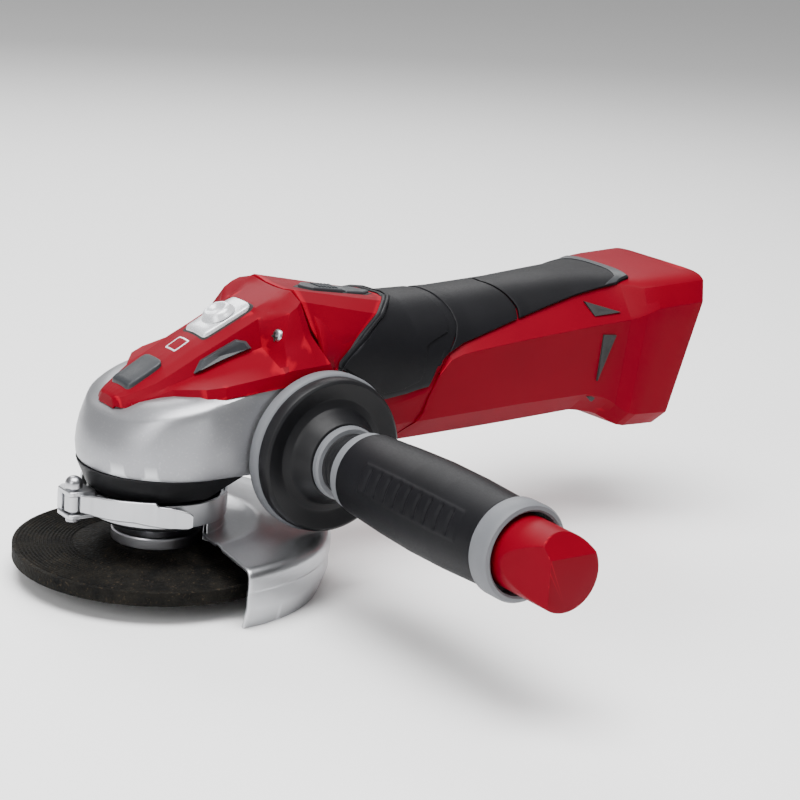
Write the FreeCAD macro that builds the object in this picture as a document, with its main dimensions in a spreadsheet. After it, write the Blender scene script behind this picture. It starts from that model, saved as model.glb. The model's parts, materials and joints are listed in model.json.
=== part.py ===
import FreeCAD, Part
import math
import os

import Sketcher

# Cordless angle grinder, 115 mm. +X runs from the spindle to the battery foot, +Z is up,
# the side handle points to -Y, and the origin is the free end of the M14 spindle nose.

doc = FreeCAD.newDocument("angle_grinder")
sheet = doc.addObject("Spreadsheet::Sheet", "dims")

driving_sizes = {
    # grinding disc and its clamping
    "disc_dia": 115, "disc_bore": 22.2, "disc_thick": 6, "disc_low": 4.5, "hub_step": 2.8,
    "hub_flat": 21.5, "hub_slope": 28, "nut_low": 2.5, "nut_rad": 20, "pin_hole_rad": 2.5,
    "pin_hole_pcd": 30, "flange_rad": 18.2, "boss_gap": 0.1,
    # spindle and its bearings
    "nose_rad": 7, "nose_len": 18.5, "collar_rad": 8.6, "spindle_rad": 6, "journal_rad": 5,
    "low_bearing_z": 29, "low_bearing_wide": 10, "low_bearing_rad": 16, "bush_rad": 7.5,
    "bush_low": 74, "bush_len": 6.5, "circlip_thick": 1.2, "circlip_rad": 8.4,
    # bevel drive: apex on the spindle axis at the height of the armature
    "motor_z": 80.5, "crown_pitch_rad": 22.5, "pinion_pitch_rad": 7.5, "crown_teeth": 36,
    "pinion_teeth": 12, "pinion_back": 30, "face_width": 7, "crown_low": 63,
    "crown_web": 66, "hub_top": 72.5,
    # guard and its clamp
    "guard_rad": 69.1, "guard_thick": 1.6, "guard_top": 20, "guard_skirt": 14.2,
    "guard_lip_low": -3, "guard_lip_in": 3.5, "neck_rad": 25, "collar_top": 34,
    "band_low": 25.6, "band_top": 35.2, "band_rad": 28.2, "neck_gap": 0.3, "fit_gap": 0.1,
    "hinge_rad": 37.5, "hinge_pin_rad": 1.6, "lever_rad": 33.5, "lever_thick": 2.2,
    # head
    "neck_low": 23, "plate_low": 36.9, "case_low": 46.8, "case_top": 79,
    "case_front": 33, "case_half": 37.2, "case_rear": 60, "case_cavity": 26,
    "case_roof": 1.8, "pinion_room": 9.6,
    "plate_rad": 28.9, "plate_half": 33.4, "plate_rear_low": 40,
    "cover_rear": 51.5, "head_screw_x": 36, "head_screw_y": 24, "head_screw_z": 99, "seam_x": 52,
    # motor
    "shaft_rad": 4, "pinion_bore": 3, "core_rad": 18, "core_x": 84, "core_len": 42,
    "can_rad": 24.2, "can_thick": 1.6, "can_x": 78, "can_len": 56, "magnet_gap": 0.8,
    "commutator_rad": 10.5, "commutator_x": 137, "commutator_len": 15, "fan_x": 63,
    "fan_rad": 22.5, "fan_wide": 9, "front_bearing_x": 46, "front_bearing_rad": 11,
    "front_bearing_wide": 7, "rear_bearing_x": 160, "rear_bearing_rad": 9.5,
    "rear_bearing_wide": 6, "shaft_end": 167, "rear_journal": 3,
    # housing
    "barrel_rad": 27.5, "barrel_wall": 3, "grip_thick": 2, "grip_front": 64, "grip_rear": 156,
    "foot_half": 37, "foot_x": 257, "foot_lean": 17.5, "foot_low": 43, "foot_top": 116,
    "bay_depth": 10, "bay_half": 27, "bay_low": 56, "screw_rad": 2, "screw_head": 3.5,
    # switch
    "slide_half": 5.4, "slide_front": 61, "slide_len": 20,
    "lock_pin_rad": 2, "lock_pin_x": 10.5, "button_front": 15,
    "button_rear": 34, "button_half": 7.6, "slide_gap": 0.4,
    # side handle
    "handle_x": 50.4, "handle_z": 55.2, "stud_rad": 4, "rim_rad": 32.5,
    "rim_wide": 7, "handle_start": 38, "grip_start": 75, "grip_end": 164, "grip_rad": 18.6,
    "core_round": 14, "ring_rad": 15.4, "core_end": 200, "ring_end": 173.6,
}
for row, (alias, value) in enumerate(driving_sizes.items(), 1):
    sheet.set(f"A{row}", alias)
    sheet.set(f"B{row}", str(value))
    sheet.setAlias(f"B{row}", alias)
doc.recompute()


class Size:
    """A length with the sheet expression that it comes from."""

    def __init__(self, value, text):
        self.value = float(value)
        self.text = text

    @staticmethod
    def of(value):
        return value if isinstance(value, Size) else Size(value, repr(float(value)))

    def joined(self, other, sign, value):
        return Size(value, f"({self.text} {sign} {other.text})")

    def __add__(self, other):
        other = Size.of(other)
        return self.joined(other, "+", self.value + other.value)

    def __sub__(self, other):
        other = Size.of(other)
        return self.joined(other, "-", self.value - other.value)

    def __mul__(self, other):
        other = Size.of(other)
        return self.joined(other, "*", self.value * other.value)

    def __truediv__(self, other):
        other = Size.of(other)
        return self.joined(other, "/", self.value / other.value)

    def __radd__(self, other):
        return Size.of(other) + self

    def __rsub__(self, other):
        return Size.of(other) - self

    def __rmul__(self, other):
        return Size.of(other) * self

    def __neg__(self):
        return 0 - self


class Dims:
    """dims.name as a Size."""

    def __getattr__(self, name):
        return Size(getattr(sheet, name), "dims." + name)


d = Dims()
sub_parts = {}
along_x = FreeCAD.Rotation(FreeCAD.Vector(0, 1, 0), 90)
along_minus_y = FreeCAD.Rotation(FreeCAD.Vector(1, 0, 0), 90)
along_y = FreeCAD.Rotation(FreeCAD.Vector(1, 0, 0), -90)
upright = FreeCAD.Rotation()


def node(name, item):
    """Registers a finished sub-part under the name of its file."""
    item.Label = name
    sub_parts[name] = item
    return item


def place(item, x=0, y=0, z=0, turn=upright):
    item.Placement = FreeCAD.Placement(FreeCAD.Vector(0, 0, 0), turn)
    for letter, value in zip("xyz", (x, y, z)):
        item.setExpression("Placement.Base." + letter, Size.of(value).text)
    return item


def bind(item, **sizes):
    for name, value in sizes.items():
        item.setExpression(name, Size.of(value).text)
    return item


def rod(name, radius, length, x=0, y=0, z=0, turn=upright):
    item = bind(doc.addObject("Part::Cylinder", name), Radius=radius, Height=length)
    return place(item, x, y, z, turn)


def cone(name, radius1, radius2, length, x=0, y=0, z=0, turn=upright):
    item = doc.addObject("Part::Cone", name)
    bind(item, Radius1=radius1, Radius2=radius2, Height=length)
    return place(item, x, y, z, turn)


def ball(name, radius, x=0, y=0, z=0):
    return place(bind(doc.addObject("Part::Sphere", name), Radius=radius), x, y, z)


def block(name, x, y, z, turn=upright):
    """A box between the two values given for each direction."""
    item = doc.addObject("Part::Box", name)
    spans = [(Size.of(low), Size.of(high)) for low, high in (x, y, z)]
    bind(item, Length=spans[0][1] - spans[0][0], Width=spans[1][1] - spans[1][0],
         Height=spans[2][1] - spans[2][0])
    return place(item, spans[0][0], spans[1][0], spans[2][0], turn)


def fuse(name, items):
    result = doc.addObject("Part::MultiFuse", name)
    result.Shapes = items
    return result


def group(name, items):
    result = doc.addObject("Part::Compound", name)
    result.Links = items
    return result


def cut(name, base, tools):
    result = doc.addObject("Part::Cut", name)
    result.Base = base
    result.Tool = tools[0] if len(tools) == 1 else fuse(name + "_cutters", tools)
    return result


def common(name, first, second):
    result = doc.addObject("Part::MultiCommon", name)
    result.Shapes = [first, second]
    return result


def sketch_polygon(body, role, points, name, offset=None):
    """A closed outline of straight lines on one of the body's own planes."""
    sketch = body.newObject("Sketcher::SketchObject", name)
    plane = [item for item in body.Origin.OriginFeatures if item.Role == role][0]
    sketch.AttachmentSupport = [(plane, "")]
    sketch.MapMode = "FlatFace"
    if offset is not None:
        sketch.setExpression("AttachmentOffset.Base.z", Size.of(offset).text)
    places = [(Size.of(across), Size.of(up)) for across, up in points]
    corners = [FreeCAD.Vector(across.value, up.value, 0) for across, up in places]
    count = len(corners)
    for index in range(count):
        sketch.addGeometry(Part.LineSegment(corners[index], corners[(index + 1) % count]), False)
    for index in range(count):
        sketch.addConstraint(Sketcher.Constraint("Coincident", index, 2, (index + 1) % count, 1))
    for index, pair in enumerate(places):
        for kind, value in zip(("DistanceX", "DistanceY"), pair):
            number = sketch.addConstraint(Sketcher.Constraint(kind, -1, 1, index, 1, value.value))
            sketch.setExpression(f"Constraints[{number}]", value.text)
    return sketch


def revolved(name, points, x=0, y=0, z=0, turn=upright):
    """A turned piece: points are (radius, distance along the axis)."""
    body = doc.addObject("PartDesign::Body", name)
    sketch = sketch_polygon(body, "XZ_Plane", points, name + "_profile")
    feature = body.newObject("PartDesign::Revolution", name + "_revolution")
    feature.Profile = sketch
    feature.ReferenceAxis = (sketch, ["V_Axis"])
    feature.Angle = 360
    sketch.Visibility = False
    return place(body, x, y, z, turn)


def ring(name, outer, inner, length, x=0, y=0, z=0, turn=upright):
    points = [(inner, 0), (outer, 0), (outer, length), (inner, length)]
    return revolved(name, points, x, y, z, turn)


def padded(name, points, length, x=0, y=0, z=0, turn=upright):
    body = doc.addObject("PartDesign::Body", name)
    sketch = sketch_polygon(body, "XY_Plane", points, name + "_outline")
    feature = body.newObject("PartDesign::Pad", name + "_pad")
    feature.Profile = sketch
    feature.setExpression("Length", Size.of(length).text)
    return place(body, x, y, z, turn)


def lofted(name, sections):
    """A body through outlines across X: each section is (x, [(y, z), ...])."""
    body = doc.addObject("PartDesign::Body", name)
    sketches = []
    for index, (offset, points) in enumerate(sections):
        sketches.append(sketch_polygon(body, "YZ_Plane", points, f"{name}_{index}", offset))
    feature = body.newObject("PartDesign::AdditiveLoft", name + "_loft")
    feature.Profile = sketches[0]
    feature.Sections = sketches[1:]
    feature.Ruled = True
    return body


def split(name, shell, half_width=200):
    """The two shells of a clamshell, parted on the plane y = 0."""
    for side, low in (("left", -half_width), ("right", 0)):
        half = block(f"{name}_{side}_half", (-half_width, 2 * half_width),
                     (low, low + half_width), (-half_width, half_width))
        node(f"{name}_{side}", common(f"{name}_{side}", shell, half))


# ---- grinding disc, its clamping and the spindle, all turning about Z ----

def make_disc():
    low, thick, step = d.disc_low, d.disc_thick, d.hub_step
    radius, bore = d.disc_dia / 2, d.disc_bore / 2
    points = [(bore, low + step), (d.hub_flat, low + step), (d.hub_slope, low), (radius, low),
              (radius, low + thick), (d.hub_slope, low + thick),
              (d.hub_flat, low + thick + step), (bore, low + thick + step)]
    node("grinding_disc", revolved("grinding_disc", points))


def make_flange_nut():
    face = d.disc_low + d.hub_step
    bore, boss = d.nose_rad + d.fit_gap / 2, d.disc_bore / 2 - d.boss_gap
    points = [(bore, d.nut_low), (d.nut_rad, d.nut_low), (d.nut_rad, face), (boss, face),
              (boss, face + 1.8), (bore, face + 1.8)]
    blank = revolved("nut_blank", points)
    holes = [rod(f"nut_hole_{side}", d.pin_hole_rad, 20, side * d.pin_hole_pcd / 2, 0, 0)
             for side in (-1, 1)]
    node("flange_nut", cut("flange_nut", blank, holes))


def make_inner_flange():
    face = d.disc_low + d.disc_thick + d.hub_step
    bore, boss = d.nose_rad + d.fit_gap / 2, d.disc_bore / 2 - d.boss_gap
    points = [(bore, face - 3.4), (boss, face - 3.4), (boss, face), (d.flange_rad, face),
              (d.flange_rad, d.nose_len - 1.5), (d.flange_rad - 4, d.nose_len),
              (bore, d.nose_len)]
    node("inner_flange", revolved("inner_flange", points))


def make_spindle():
    nose, collar, shaft, journal = d.nose_rad, d.collar_rad, d.spindle_rad, d.journal_rad
    top = d.bush_low + d.bush_len
    groove, groove_start = nose - 0.8, d.nut_low - 1
    points = [(0, 0), (nose, 0), (nose, groove_start), (groove, groove_start),
              (groove, d.nut_low), (nose, d.nut_low), (nose, d.nose_len), (collar, d.nose_len),
              (collar, d.low_bearing_z), (shaft, d.low_bearing_z), (shaft, d.hub_top),
              (journal, d.hub_top), (journal, top - 1), (0, top - 1)]
    node("spindle", revolved("spindle", points))


def make_ball_bearing(name, bore, outer, wide, balls, x, y, z, turn):
    """Outer ring, inner ring and a ring of balls between them."""
    middle, race = (bore + outer) / 2, (outer - bore) / 5
    radius = race * 1.1
    node(name + "_outer", ring(name + "_outer", outer, middle + race * 1.2, wide, x, y, z, turn))
    node(name + "_inner", ring(name + "_inner", middle - race * 1.2, bore, wide, x, y, z, turn))
    centre = FreeCAD.Vector(x.value if isinstance(x, Size) else x, y, z.value)
    solids = []
    for index in range(balls):
        angle = 2 * math.pi * index / balls
        spot = FreeCAD.Vector(middle.value * math.cos(angle), middle.value * math.sin(angle),
                              wide.value / 2)
        spot = turn.multVec(spot) + centre
        solids.append(ball(f"{name}_ball_{index}", radius, *spot))
    node(name + "_balls", group(name + "_balls", solids))


def make_spindle_bearings():
    top = d.low_bearing_z + d.low_bearing_wide
    make_ball_bearing("spindle_bearing", d.spindle_rad, d.low_bearing_rad, d.low_bearing_wide, 8,
                      0, 0, d.low_bearing_z, upright)
    node("spindle_circlip", ring("spindle_circlip", d.circlip_rad, d.spindle_rad,
                                 d.circlip_thick, 0, 0, top))
    node("upper_bush", ring("upper_bush", d.bush_rad, d.journal_rad + 0.05, d.bush_len,
                            0, 0, d.bush_low))


# ---- bevel drive: both gears taper to the apex where the two axes cross ----

def bevel_tooth(pitch_rad, axial, angle, module, width, reach):
    """One straight tooth, a wedge towards the apex: axis +Z, apex at the origin."""
    distance = math.hypot(pitch_rad, axial)
    out = FreeCAD.Vector(pitch_rad / distance, 0, -axial / distance)
    rise = FreeCAD.Vector(axial / distance, 0, pitch_rad / distance)
    side = FreeCAD.Vector(0, 1, 0)
    outline = [(-1.6 * module, 1.37 * module), (0.8 * module, 0.49 * module)]
    rings = []
    for scale in (1.0, 1 - reach / distance):
        corners = []
        for sign in (-1, 1):
            for height, half in (outline if sign < 0 else outline[::-1]):
                spot = out * distance + rise * height + side * (sign * half * width)
                corners.append(spot * scale)
        rings.append(corners)
    near, far = rings[1], rings[0]
    faces = [near, far]
    for index in range(4):
        after = (index + 1) % 4
        faces.append([near[index], near[after], far[after], far[index]])
    shell = Part.makeShell([Part.Face(Part.makePolygon(face + [face[0]])) for face in faces])
    tooth = Part.makeSolid(shell)
    if tooth.Volume < 0:
        tooth.reverse()
    tooth.rotate(FreeCAD.Vector(0, 0, 0), FreeCAD.Vector(0, 0, 1), angle)
    return tooth


def bevel_gear(name, blank, pitch_rad, axial, teeth, start, turn):
    """A turned blank with its ring of teeth, about Z with the apex at the origin."""
    module = 2 * pitch_rad / teeth
    shape = blank
    cutters = [bevel_tooth(pitch_rad, axial, start + 360 * index / teeth, module, 0.72,
                           d.face_width.value) for index in range(teeth)]
    shape = shape.multiFuse(cutters).removeSplitter()
    gear = doc.addObject("Part::Feature", name)
    gear.Shape = shape
    return place(node(name, gear), 0, 0, d.motor_z, turn)


def turned_shape(points):
    """A solid of revolution about Z from (radius, height) pairs in plain numbers."""
    corners = [FreeCAD.Vector(radius, 0, height) for radius, height in points]
    face = Part.Face(Part.makePolygon(corners + [corners[0]]))
    return face.revolve(FreeCAD.Vector(0, 0, 0), FreeCAD.Vector(0, 0, 1), 360)


def root_cone(pitch_rad, axial, depth, reach):
    """The outer and inner ends of the line that the tooth roots lie on."""
    distance = math.hypot(pitch_rad, axial)
    outer = (pitch_rad - depth * axial / distance, -axial - depth * pitch_rad / distance)
    scale = 1 - reach / distance
    return outer, (outer[0] * scale, outer[1] * scale)


def make_crown_gear():
    pitch, axial = d.crown_pitch_rad.value, d.pinion_pitch_rad.value
    apex = d.motor_z.value
    outer, inner = root_cone(pitch, axial, 1.4, d.face_width.value + 0.2)
    bore, low, top = d.spindle_rad.value, d.crown_low.value - apex, d.hub_top.value - apex
    web = d.crown_web.value - apex
    blank = turned_shape([(bore, low), (12, low), (outer[0] - 2, web), outer, inner,
                          (inner[0] - 1.6, top), (bore, top)])
    holes = []
    for index in range(4):
        angle = math.pi * index / 2
        spot = FreeCAD.Vector(d.lock_pin_x.value * math.cos(angle),
                              d.lock_pin_x.value * math.sin(angle), top - 4)
        holes.append(Part.makeCylinder(d.lock_pin_rad.value + 0.35, 10, spot))
    blank = blank.cut(Part.makeCompound(holes))
    bevel_gear("crown_gear", blank, pitch, axial, int(d.crown_teeth.value), 0, upright)


def make_pinion():
    pitch, axial = d.pinion_pitch_rad.value, d.crown_pitch_rad.value
    outer, inner = root_cone(pitch, axial, 1.4, d.face_width.value + 0.2)
    bore = d.pinion_bore.value
    back = -d.pinion_back.value
    blank = turned_shape([(bore, back), (6.3, back), (6.3, outer[1] - 1), outer, inner,
                          (bore, inner[1])])
    teeth = int(d.pinion_teeth.value)
    flip = FreeCAD.Rotation(FreeCAD.Vector(0, 1, 0), -90)
    bevel_gear("pinion", blank, pitch, axial, teeth, 180 / teeth, flip)


# ---- gear head ----

def screw(name, radius, head, length, head_len, x, y, z, turn):
    """A shank with a cylinder head, which points along the turned Z axis."""
    shank = rod(name + "_shank", radius, length, x, y, z, turn)
    step = turn.multVec(FreeCAD.Vector(0, 0, 1))
    top = rod(name + "_head", head, head_len, x - step.x * head_len, y - step.y * head_len,
              z - step.z * head_len, turn)
    return fuse(name, [shank, top])


def cover_screw_places():
    return [(x, side * 29.5) for x in (14, 36) for side in (-1, 1)]


def make_gear_case():
    low, top, half = d.case_low, d.case_top, d.case_half
    centre = half - d.case_front
    nose = rod("case_nose", half, top - low, centre, 0, low)
    rear = block("case_rear", (centre, d.case_rear), (-half, half), (low, top))
    roof, wall = d.pinion_room, d.case_roof
    cone_start, cone_end = 14.8, 24
    core = block("case_core", (-12, 46), (-13, 13), (top - 4, top + 3))
    hood = cone("case_hood", roof - 3 + wall, roof + wall, cone_end - cone_start + wall,
                cone_start - wall, 0, d.motor_z, along_x)
    tunnel = rod("case_tunnel", roof + wall, 24, cone_end, 0, d.motor_z, along_x)
    seat_end = d.front_bearing_x + d.front_bearing_wide + 3
    seat = rod("case_seat", d.front_bearing_rad + 6, seat_end - 40, 40, 0, d.motor_z, along_x)
    solid = fuse("case_solid", [nose, rear, core, hood, tunnel, seat])
    tools = [
        rod("case_crown_room", d.case_cavity, top - wall - low + 1, 0, 0, low - 1),
        cone("case_pinion_nose", roof - 3, roof, cone_end - cone_start, cone_start, 0,
             d.motor_z, along_x),
        rod("case_pinion_room", roof, d.front_bearing_x - cone_end, cone_end, 0, d.motor_z,
            along_x),
        rod("case_bearing_seat", d.front_bearing_rad, 30, d.front_bearing_x, 0, d.motor_z,
            along_x),
        rod("case_pin_hole", d.lock_pin_rad + 0.15, 20, d.lock_pin_x, 0, top - 6),
        rod("case_spring_room", d.lock_pin_rad + 1.4, 20, d.lock_pin_x, 0, top + 3),
        rod("case_bush_seat", d.bush_rad, d.bush_len, 0, 0, d.bush_low),
    ]
    for side, turn in ((-1, along_y), (1, along_minus_y)):
        tools.append(rod(f"case_socket_{side}", d.stud_rad + 0.1, 19, d.handle_x,
                         side * (half + 1), d.handle_z, turn))
    for index, (x, y) in enumerate(cover_screw_places()):
        tools.append(rod(f"case_tapped_{index}", d.screw_rad, 15, x, y, low - 1))
    hollow = cut("case_hollow", solid, tools)
    boss = ring("case_bush_boss", d.bush_rad + 0.8, d.bush_rad, top - wall - d.bush_low + 0.5,
                0, 0, d.bush_low)
    node("gear_case", fuse("gear_case", [hollow, boss]))


def make_bearing_cover():
    top, low, mid = d.case_low, d.plate_low, d.neck_low
    plate = cone("plate_front", d.plate_rad, d.case_front + 0.1, top - low, 0, 0, low)
    rear = block("plate_rear", (0, d.case_rear - 2), (-d.plate_half, d.plate_half),
                 (d.plate_rear_low, top))
    neck = rod("neck", d.neck_rad, top - mid, 0, 0, mid)
    spigot = rod("plate_spigot", d.case_cavity - 2 * d.fit_gap, 2.5, 0, 0, top)
    solid = fuse("plate_solid", [plate, rear, neck, spigot])
    seat_top = d.low_bearing_z + d.low_bearing_wide
    tools = [
        rod("neck_mouth", d.flange_rad + 1.2, d.low_bearing_z - 2 - mid + 1, 0, 0, mid - 1),
        rod("neck_seal_hole", d.collar_rad + 0.5, 20, 0, 0, mid + 2),
        rod("plate_bearing_seat", d.low_bearing_rad, 40, 0, 0, d.low_bearing_z),
    ]
    for index, (x, y) in enumerate(cover_screw_places()):
        tools.append(rod(f"plate_hole_{index}", d.screw_rad + 0.2, 30, x, y, low - 1))
        tools.append(rod(f"plate_sink_{index}", d.screw_head + 0.3, 6.6, x, y, low))
    node("bearing_cover", cut("bearing_cover", solid, tools))
    screws = [screw(f"cover_screw_{index}", d.screw_rad, d.screw_head, 17, 3, x, y, low + 6.6,
                    upright) for index, (x, y) in enumerate(cover_screw_places())]
    node("bearing_cover_screws", group("bearing_cover_screws", screws))
    node("bearing_retainer", ring("bearing_retainer", d.low_bearing_rad, d.low_bearing_rad - 3,
                                  1.6, 0, 0, seat_top))


# the sloping red cover: at each X, half width and height of its lower, side and crown edges
cover_stations = {
    -24: (11.5, 79.2, 10, 80, 7, 80.6),
    -8: (27, 79.2, 24, 82, 13, 84),
    10: (35.5, 79.2, 30, 84, 14.5, 93),
    34: (36.6, 79.2, 31, 92, 15, 106.5),
}
cover_last = (36.6, 79.2, 32, 99, 15, 116.5)
cover_wall = 2.6


def cover_outline(station, thinner):
    low_half, low, side_half, side, top_half, top = station
    shift = -2 if thinner else 0
    half = [(low_half - thinner, low + shift), (side_half - thinner, side - thinner / 2),
            (top_half - thinner * 0.6, top - thinner), (1.5, top + 2.2 - thinner)]
    outline = [(-across, up) for across, up in half]
    return half + outline[::-1]


def make_head_cover():
    rear = d.cover_rear
    front = min(cover_stations)
    outer = [(x, cover_outline(station, 0)) for x, station in cover_stations.items()]
    outer.append((rear, cover_outline(cover_last, 0)))
    inner = [(x + (3 if x == front else 0), cover_outline(station, cover_wall))
             for x, station in cover_stations.items()]
    inner.append((rear + 1, cover_outline(cover_last, cover_wall)))
    solid = lofted("cover_outer", outer)
    hollow = lofted("cover_inner", inner)
    middle, half = (d.button_front + d.button_rear) / 2, (d.button_rear - d.button_front) / 2
    window = block("cover_window", (middle - half - d.slide_gap, middle + half + d.slide_gap),
                   (-d.button_half - d.slide_gap, d.button_half + d.slide_gap), (88, 130))
    tools = [hollow, window]
    face, y, z = d.head_screw_x, d.head_screw_y, d.head_screw_z
    pillars = []
    for side in (-1, 1):
        span = (y - 6.5, y + 5.5) if side > 0 else (-y - 5.5, -y + 6.5)
        pillars.append(block(f"cover_pillar_{side}", (face, rear), span, (z - 15, z + 6)))
    solid_shell = fuse("cover_shell", [cut("cover_hollow", solid, tools)] + pillars)
    holes = [rod(f"cover_screw_hole_{side}", d.screw_rad + 0.2, 20, face - 1, side * y, z, along_x)
             for side in (-1, 1)]
    sinks = [rod(f"cover_screw_sink_{side}", d.screw_head + 0.4, 14, face - 14, side * y, z,
                 along_x) for side in (-1, 1)]
    shell = cut("cover_drilled", solid_shell, holes + sinks)
    floor = block("cover_floor", (-30, 60), (-40, 40), (d.case_top + 0.2, 140))
    trimmed = common("cover_trimmed", shell, floor)
    hood_room = cut("head_cover", trimmed, [
        block("cover_core_room", (-14, 60), (-13.4, 13.4), (d.case_top, d.case_top + 3.2)),
        rod("cover_seat_room", d.front_bearing_rad + 6.3, 30, 38, 0, d.motor_z, along_x),
    ])
    node("head_cover", hood_room)


def make_cover_trim():
    """The soft pad on the front slope and the two screws at the sides of the crown."""
    slope = FreeCAD.Rotation(FreeCAD.Vector(0, 1, 0), -18)
    pad = doc.addObject("Part::Box", "cover_pad_front")
    bind(pad, Length=11, Width=13, Height=1.5)
    node("cover_pad_front", place(pad, -14, -6.5, 85, slope))
    screws = [screw(f"head_screw_{side}", d.screw_rad, d.screw_head, 24, 2.6, d.head_screw_x,
                    side * d.head_screw_y, d.head_screw_z, along_x) for side in (-1, 1)]
    node("head_cover_screws", group("head_cover_screws", screws))


def make_spindle_lock():
    front, rear, half, x = d.button_front, d.button_rear, d.button_half, d.lock_pin_x
    button = padded("button_body", [(front, 94.8), (rear, 99.5), (rear, 111.5), (front, 102.5)],
                    2 * half, 0, half, 0, along_minus_y)
    dome = ball("button_dome", 5, (front + rear) / 2, 0, 104.5)
    node("lock_button", fuse("lock_button", [button, dome]))
    arm = padded("lock_arm", [(x - 2.2, 88.8), (x + 1.9, 91.7), (front + 6, 94), (front + 6, 96.2),
                              (front, 94.8), (x + 1.9, 93.4), (x - 2.2, 91.1)],
                 5, 0, 2.5, 0, along_minus_y)
    low = d.hub_top + 0.8
    pin = rod("lock_pin_rod", d.lock_pin_rad, 90 - low, x, 0, low)
    node("lock_pin", fuse("lock_pin", [arm, pin]))
    spring = ring("lock_spring", d.lock_pin_rad + 1.1, d.lock_pin_rad + 0.25, 6.2, x, 0,
                  d.case_top + 3.1)
    node("lock_spring", spring)


# ---- motor: everything turns about the X axis at motor_z ----

def make_armature():
    start = 16.4
    rear = d.rear_bearing_x
    points = [(0, start), (d.pinion_bore, start), (d.pinion_bore, d.pinion_back),
              (d.shaft_rad, d.pinion_back), (d.shaft_rad, rear), (d.rear_journal, rear),
              (d.rear_journal, d.shaft_end), (0, d.shaft_end)]
    node("armature_shaft", revolved("armature_shaft", points, 0, 0, d.motor_z, along_x))
    core = ring("core_blank", d.core_rad, d.shaft_rad, d.core_len, d.core_x, 0, d.motor_z,
                along_x)
    slots = []
    for index in range(12):
        turn = FreeCAD.Rotation(FreeCAD.Vector(1, 0, 0), 30 * index).multiply(along_x)
        slot = doc.addObject("Part::Box", f"core_slot_{index}")
        bind(slot, Length=9, Width=3, Height=d.core_len + 2)
        spot = turn.multVec(FreeCAD.Vector(d.core_rad.value - 8, -1.5, d.core_x.value - 1))
        slots.append(place(slot, spot.x, spot.y, d.motor_z + spot.z, turn))
    node("armature_core", cut("armature_core", core, slots))
    ends = [(d.core_x - 9, 9), (d.core_x + d.core_len, 9)]
    coils = [ring(f"winding_end_{index}", d.core_rad - 1.5, d.shaft_rad + 0.5, wide - 0.1, x, 0,
                  d.motor_z, along_x) for index, (x, wide) in enumerate(ends)]
    node("windings", group("windings", coils))
    node("commutator", ring("commutator", d.commutator_rad, d.shaft_rad, d.commutator_len,
                            d.commutator_x, 0, d.motor_z, along_x))
    hub = ring("fan_hub", 9, d.shaft_rad, d.fan_wide, d.fan_x, 0, d.motor_z, along_x)
    disc = ring("fan_disc", d.fan_rad, 8.5, 1.5, d.fan_x + d.fan_wide - 1.5, 0, d.motor_z, along_x)
    blades = []
    for index in range(9):
        turn = FreeCAD.Rotation(FreeCAD.Vector(1, 0, 0), 40 * index).multiply(along_x)
        blade = doc.addObject("Part::Box", f"fan_blade_{index}")
        bind(blade, Length=d.fan_rad - 9, Width=1.2, Height=d.fan_wide - 1)
        spot = turn.multVec(FreeCAD.Vector(8.6, -0.6, d.fan_x.value))
        blades.append(place(blade, spot.x, spot.y, d.motor_z + spot.z, turn))
    node("fan", fuse("fan", [hub, disc] + blades))


def make_motor_bearings():
    make_ball_bearing("front_bearing", d.shaft_rad, d.front_bearing_rad, d.front_bearing_wide, 7,
                      d.front_bearing_x, 0, d.motor_z, along_x)
    wide, outer = d.rear_bearing_wide, d.rear_bearing_rad
    node("rear_bearing_outer", ring("rear_bearing_outer", outer, outer - 2.4, wide,
                                    d.rear_bearing_x, 0, d.motor_z, along_x))
    node("rear_bearing_inner", ring("rear_bearing_inner", d.rear_journal + 2, d.rear_journal,
                                    wide, d.rear_bearing_x, 0, d.motor_z, along_x))


def make_motor_field():
    node("motor_can", ring("motor_can", d.can_rad, d.can_rad - d.can_thick, d.can_len, d.can_x, 0,
                           d.motor_z, along_x))
    outer, inner = d.can_rad - d.can_thick - d.fit_gap, d.core_rad + d.magnet_gap
    tube = ring("magnet_tube", outer, inner, d.core_len, d.core_x, 0, d.motor_z, along_x)
    gap = block("magnet_gap_block", (0, 300), (-40, 40), (d.motor_z - 6, d.motor_z + 6))
    node("magnets", cut("magnets", tube, [gap]))


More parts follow.
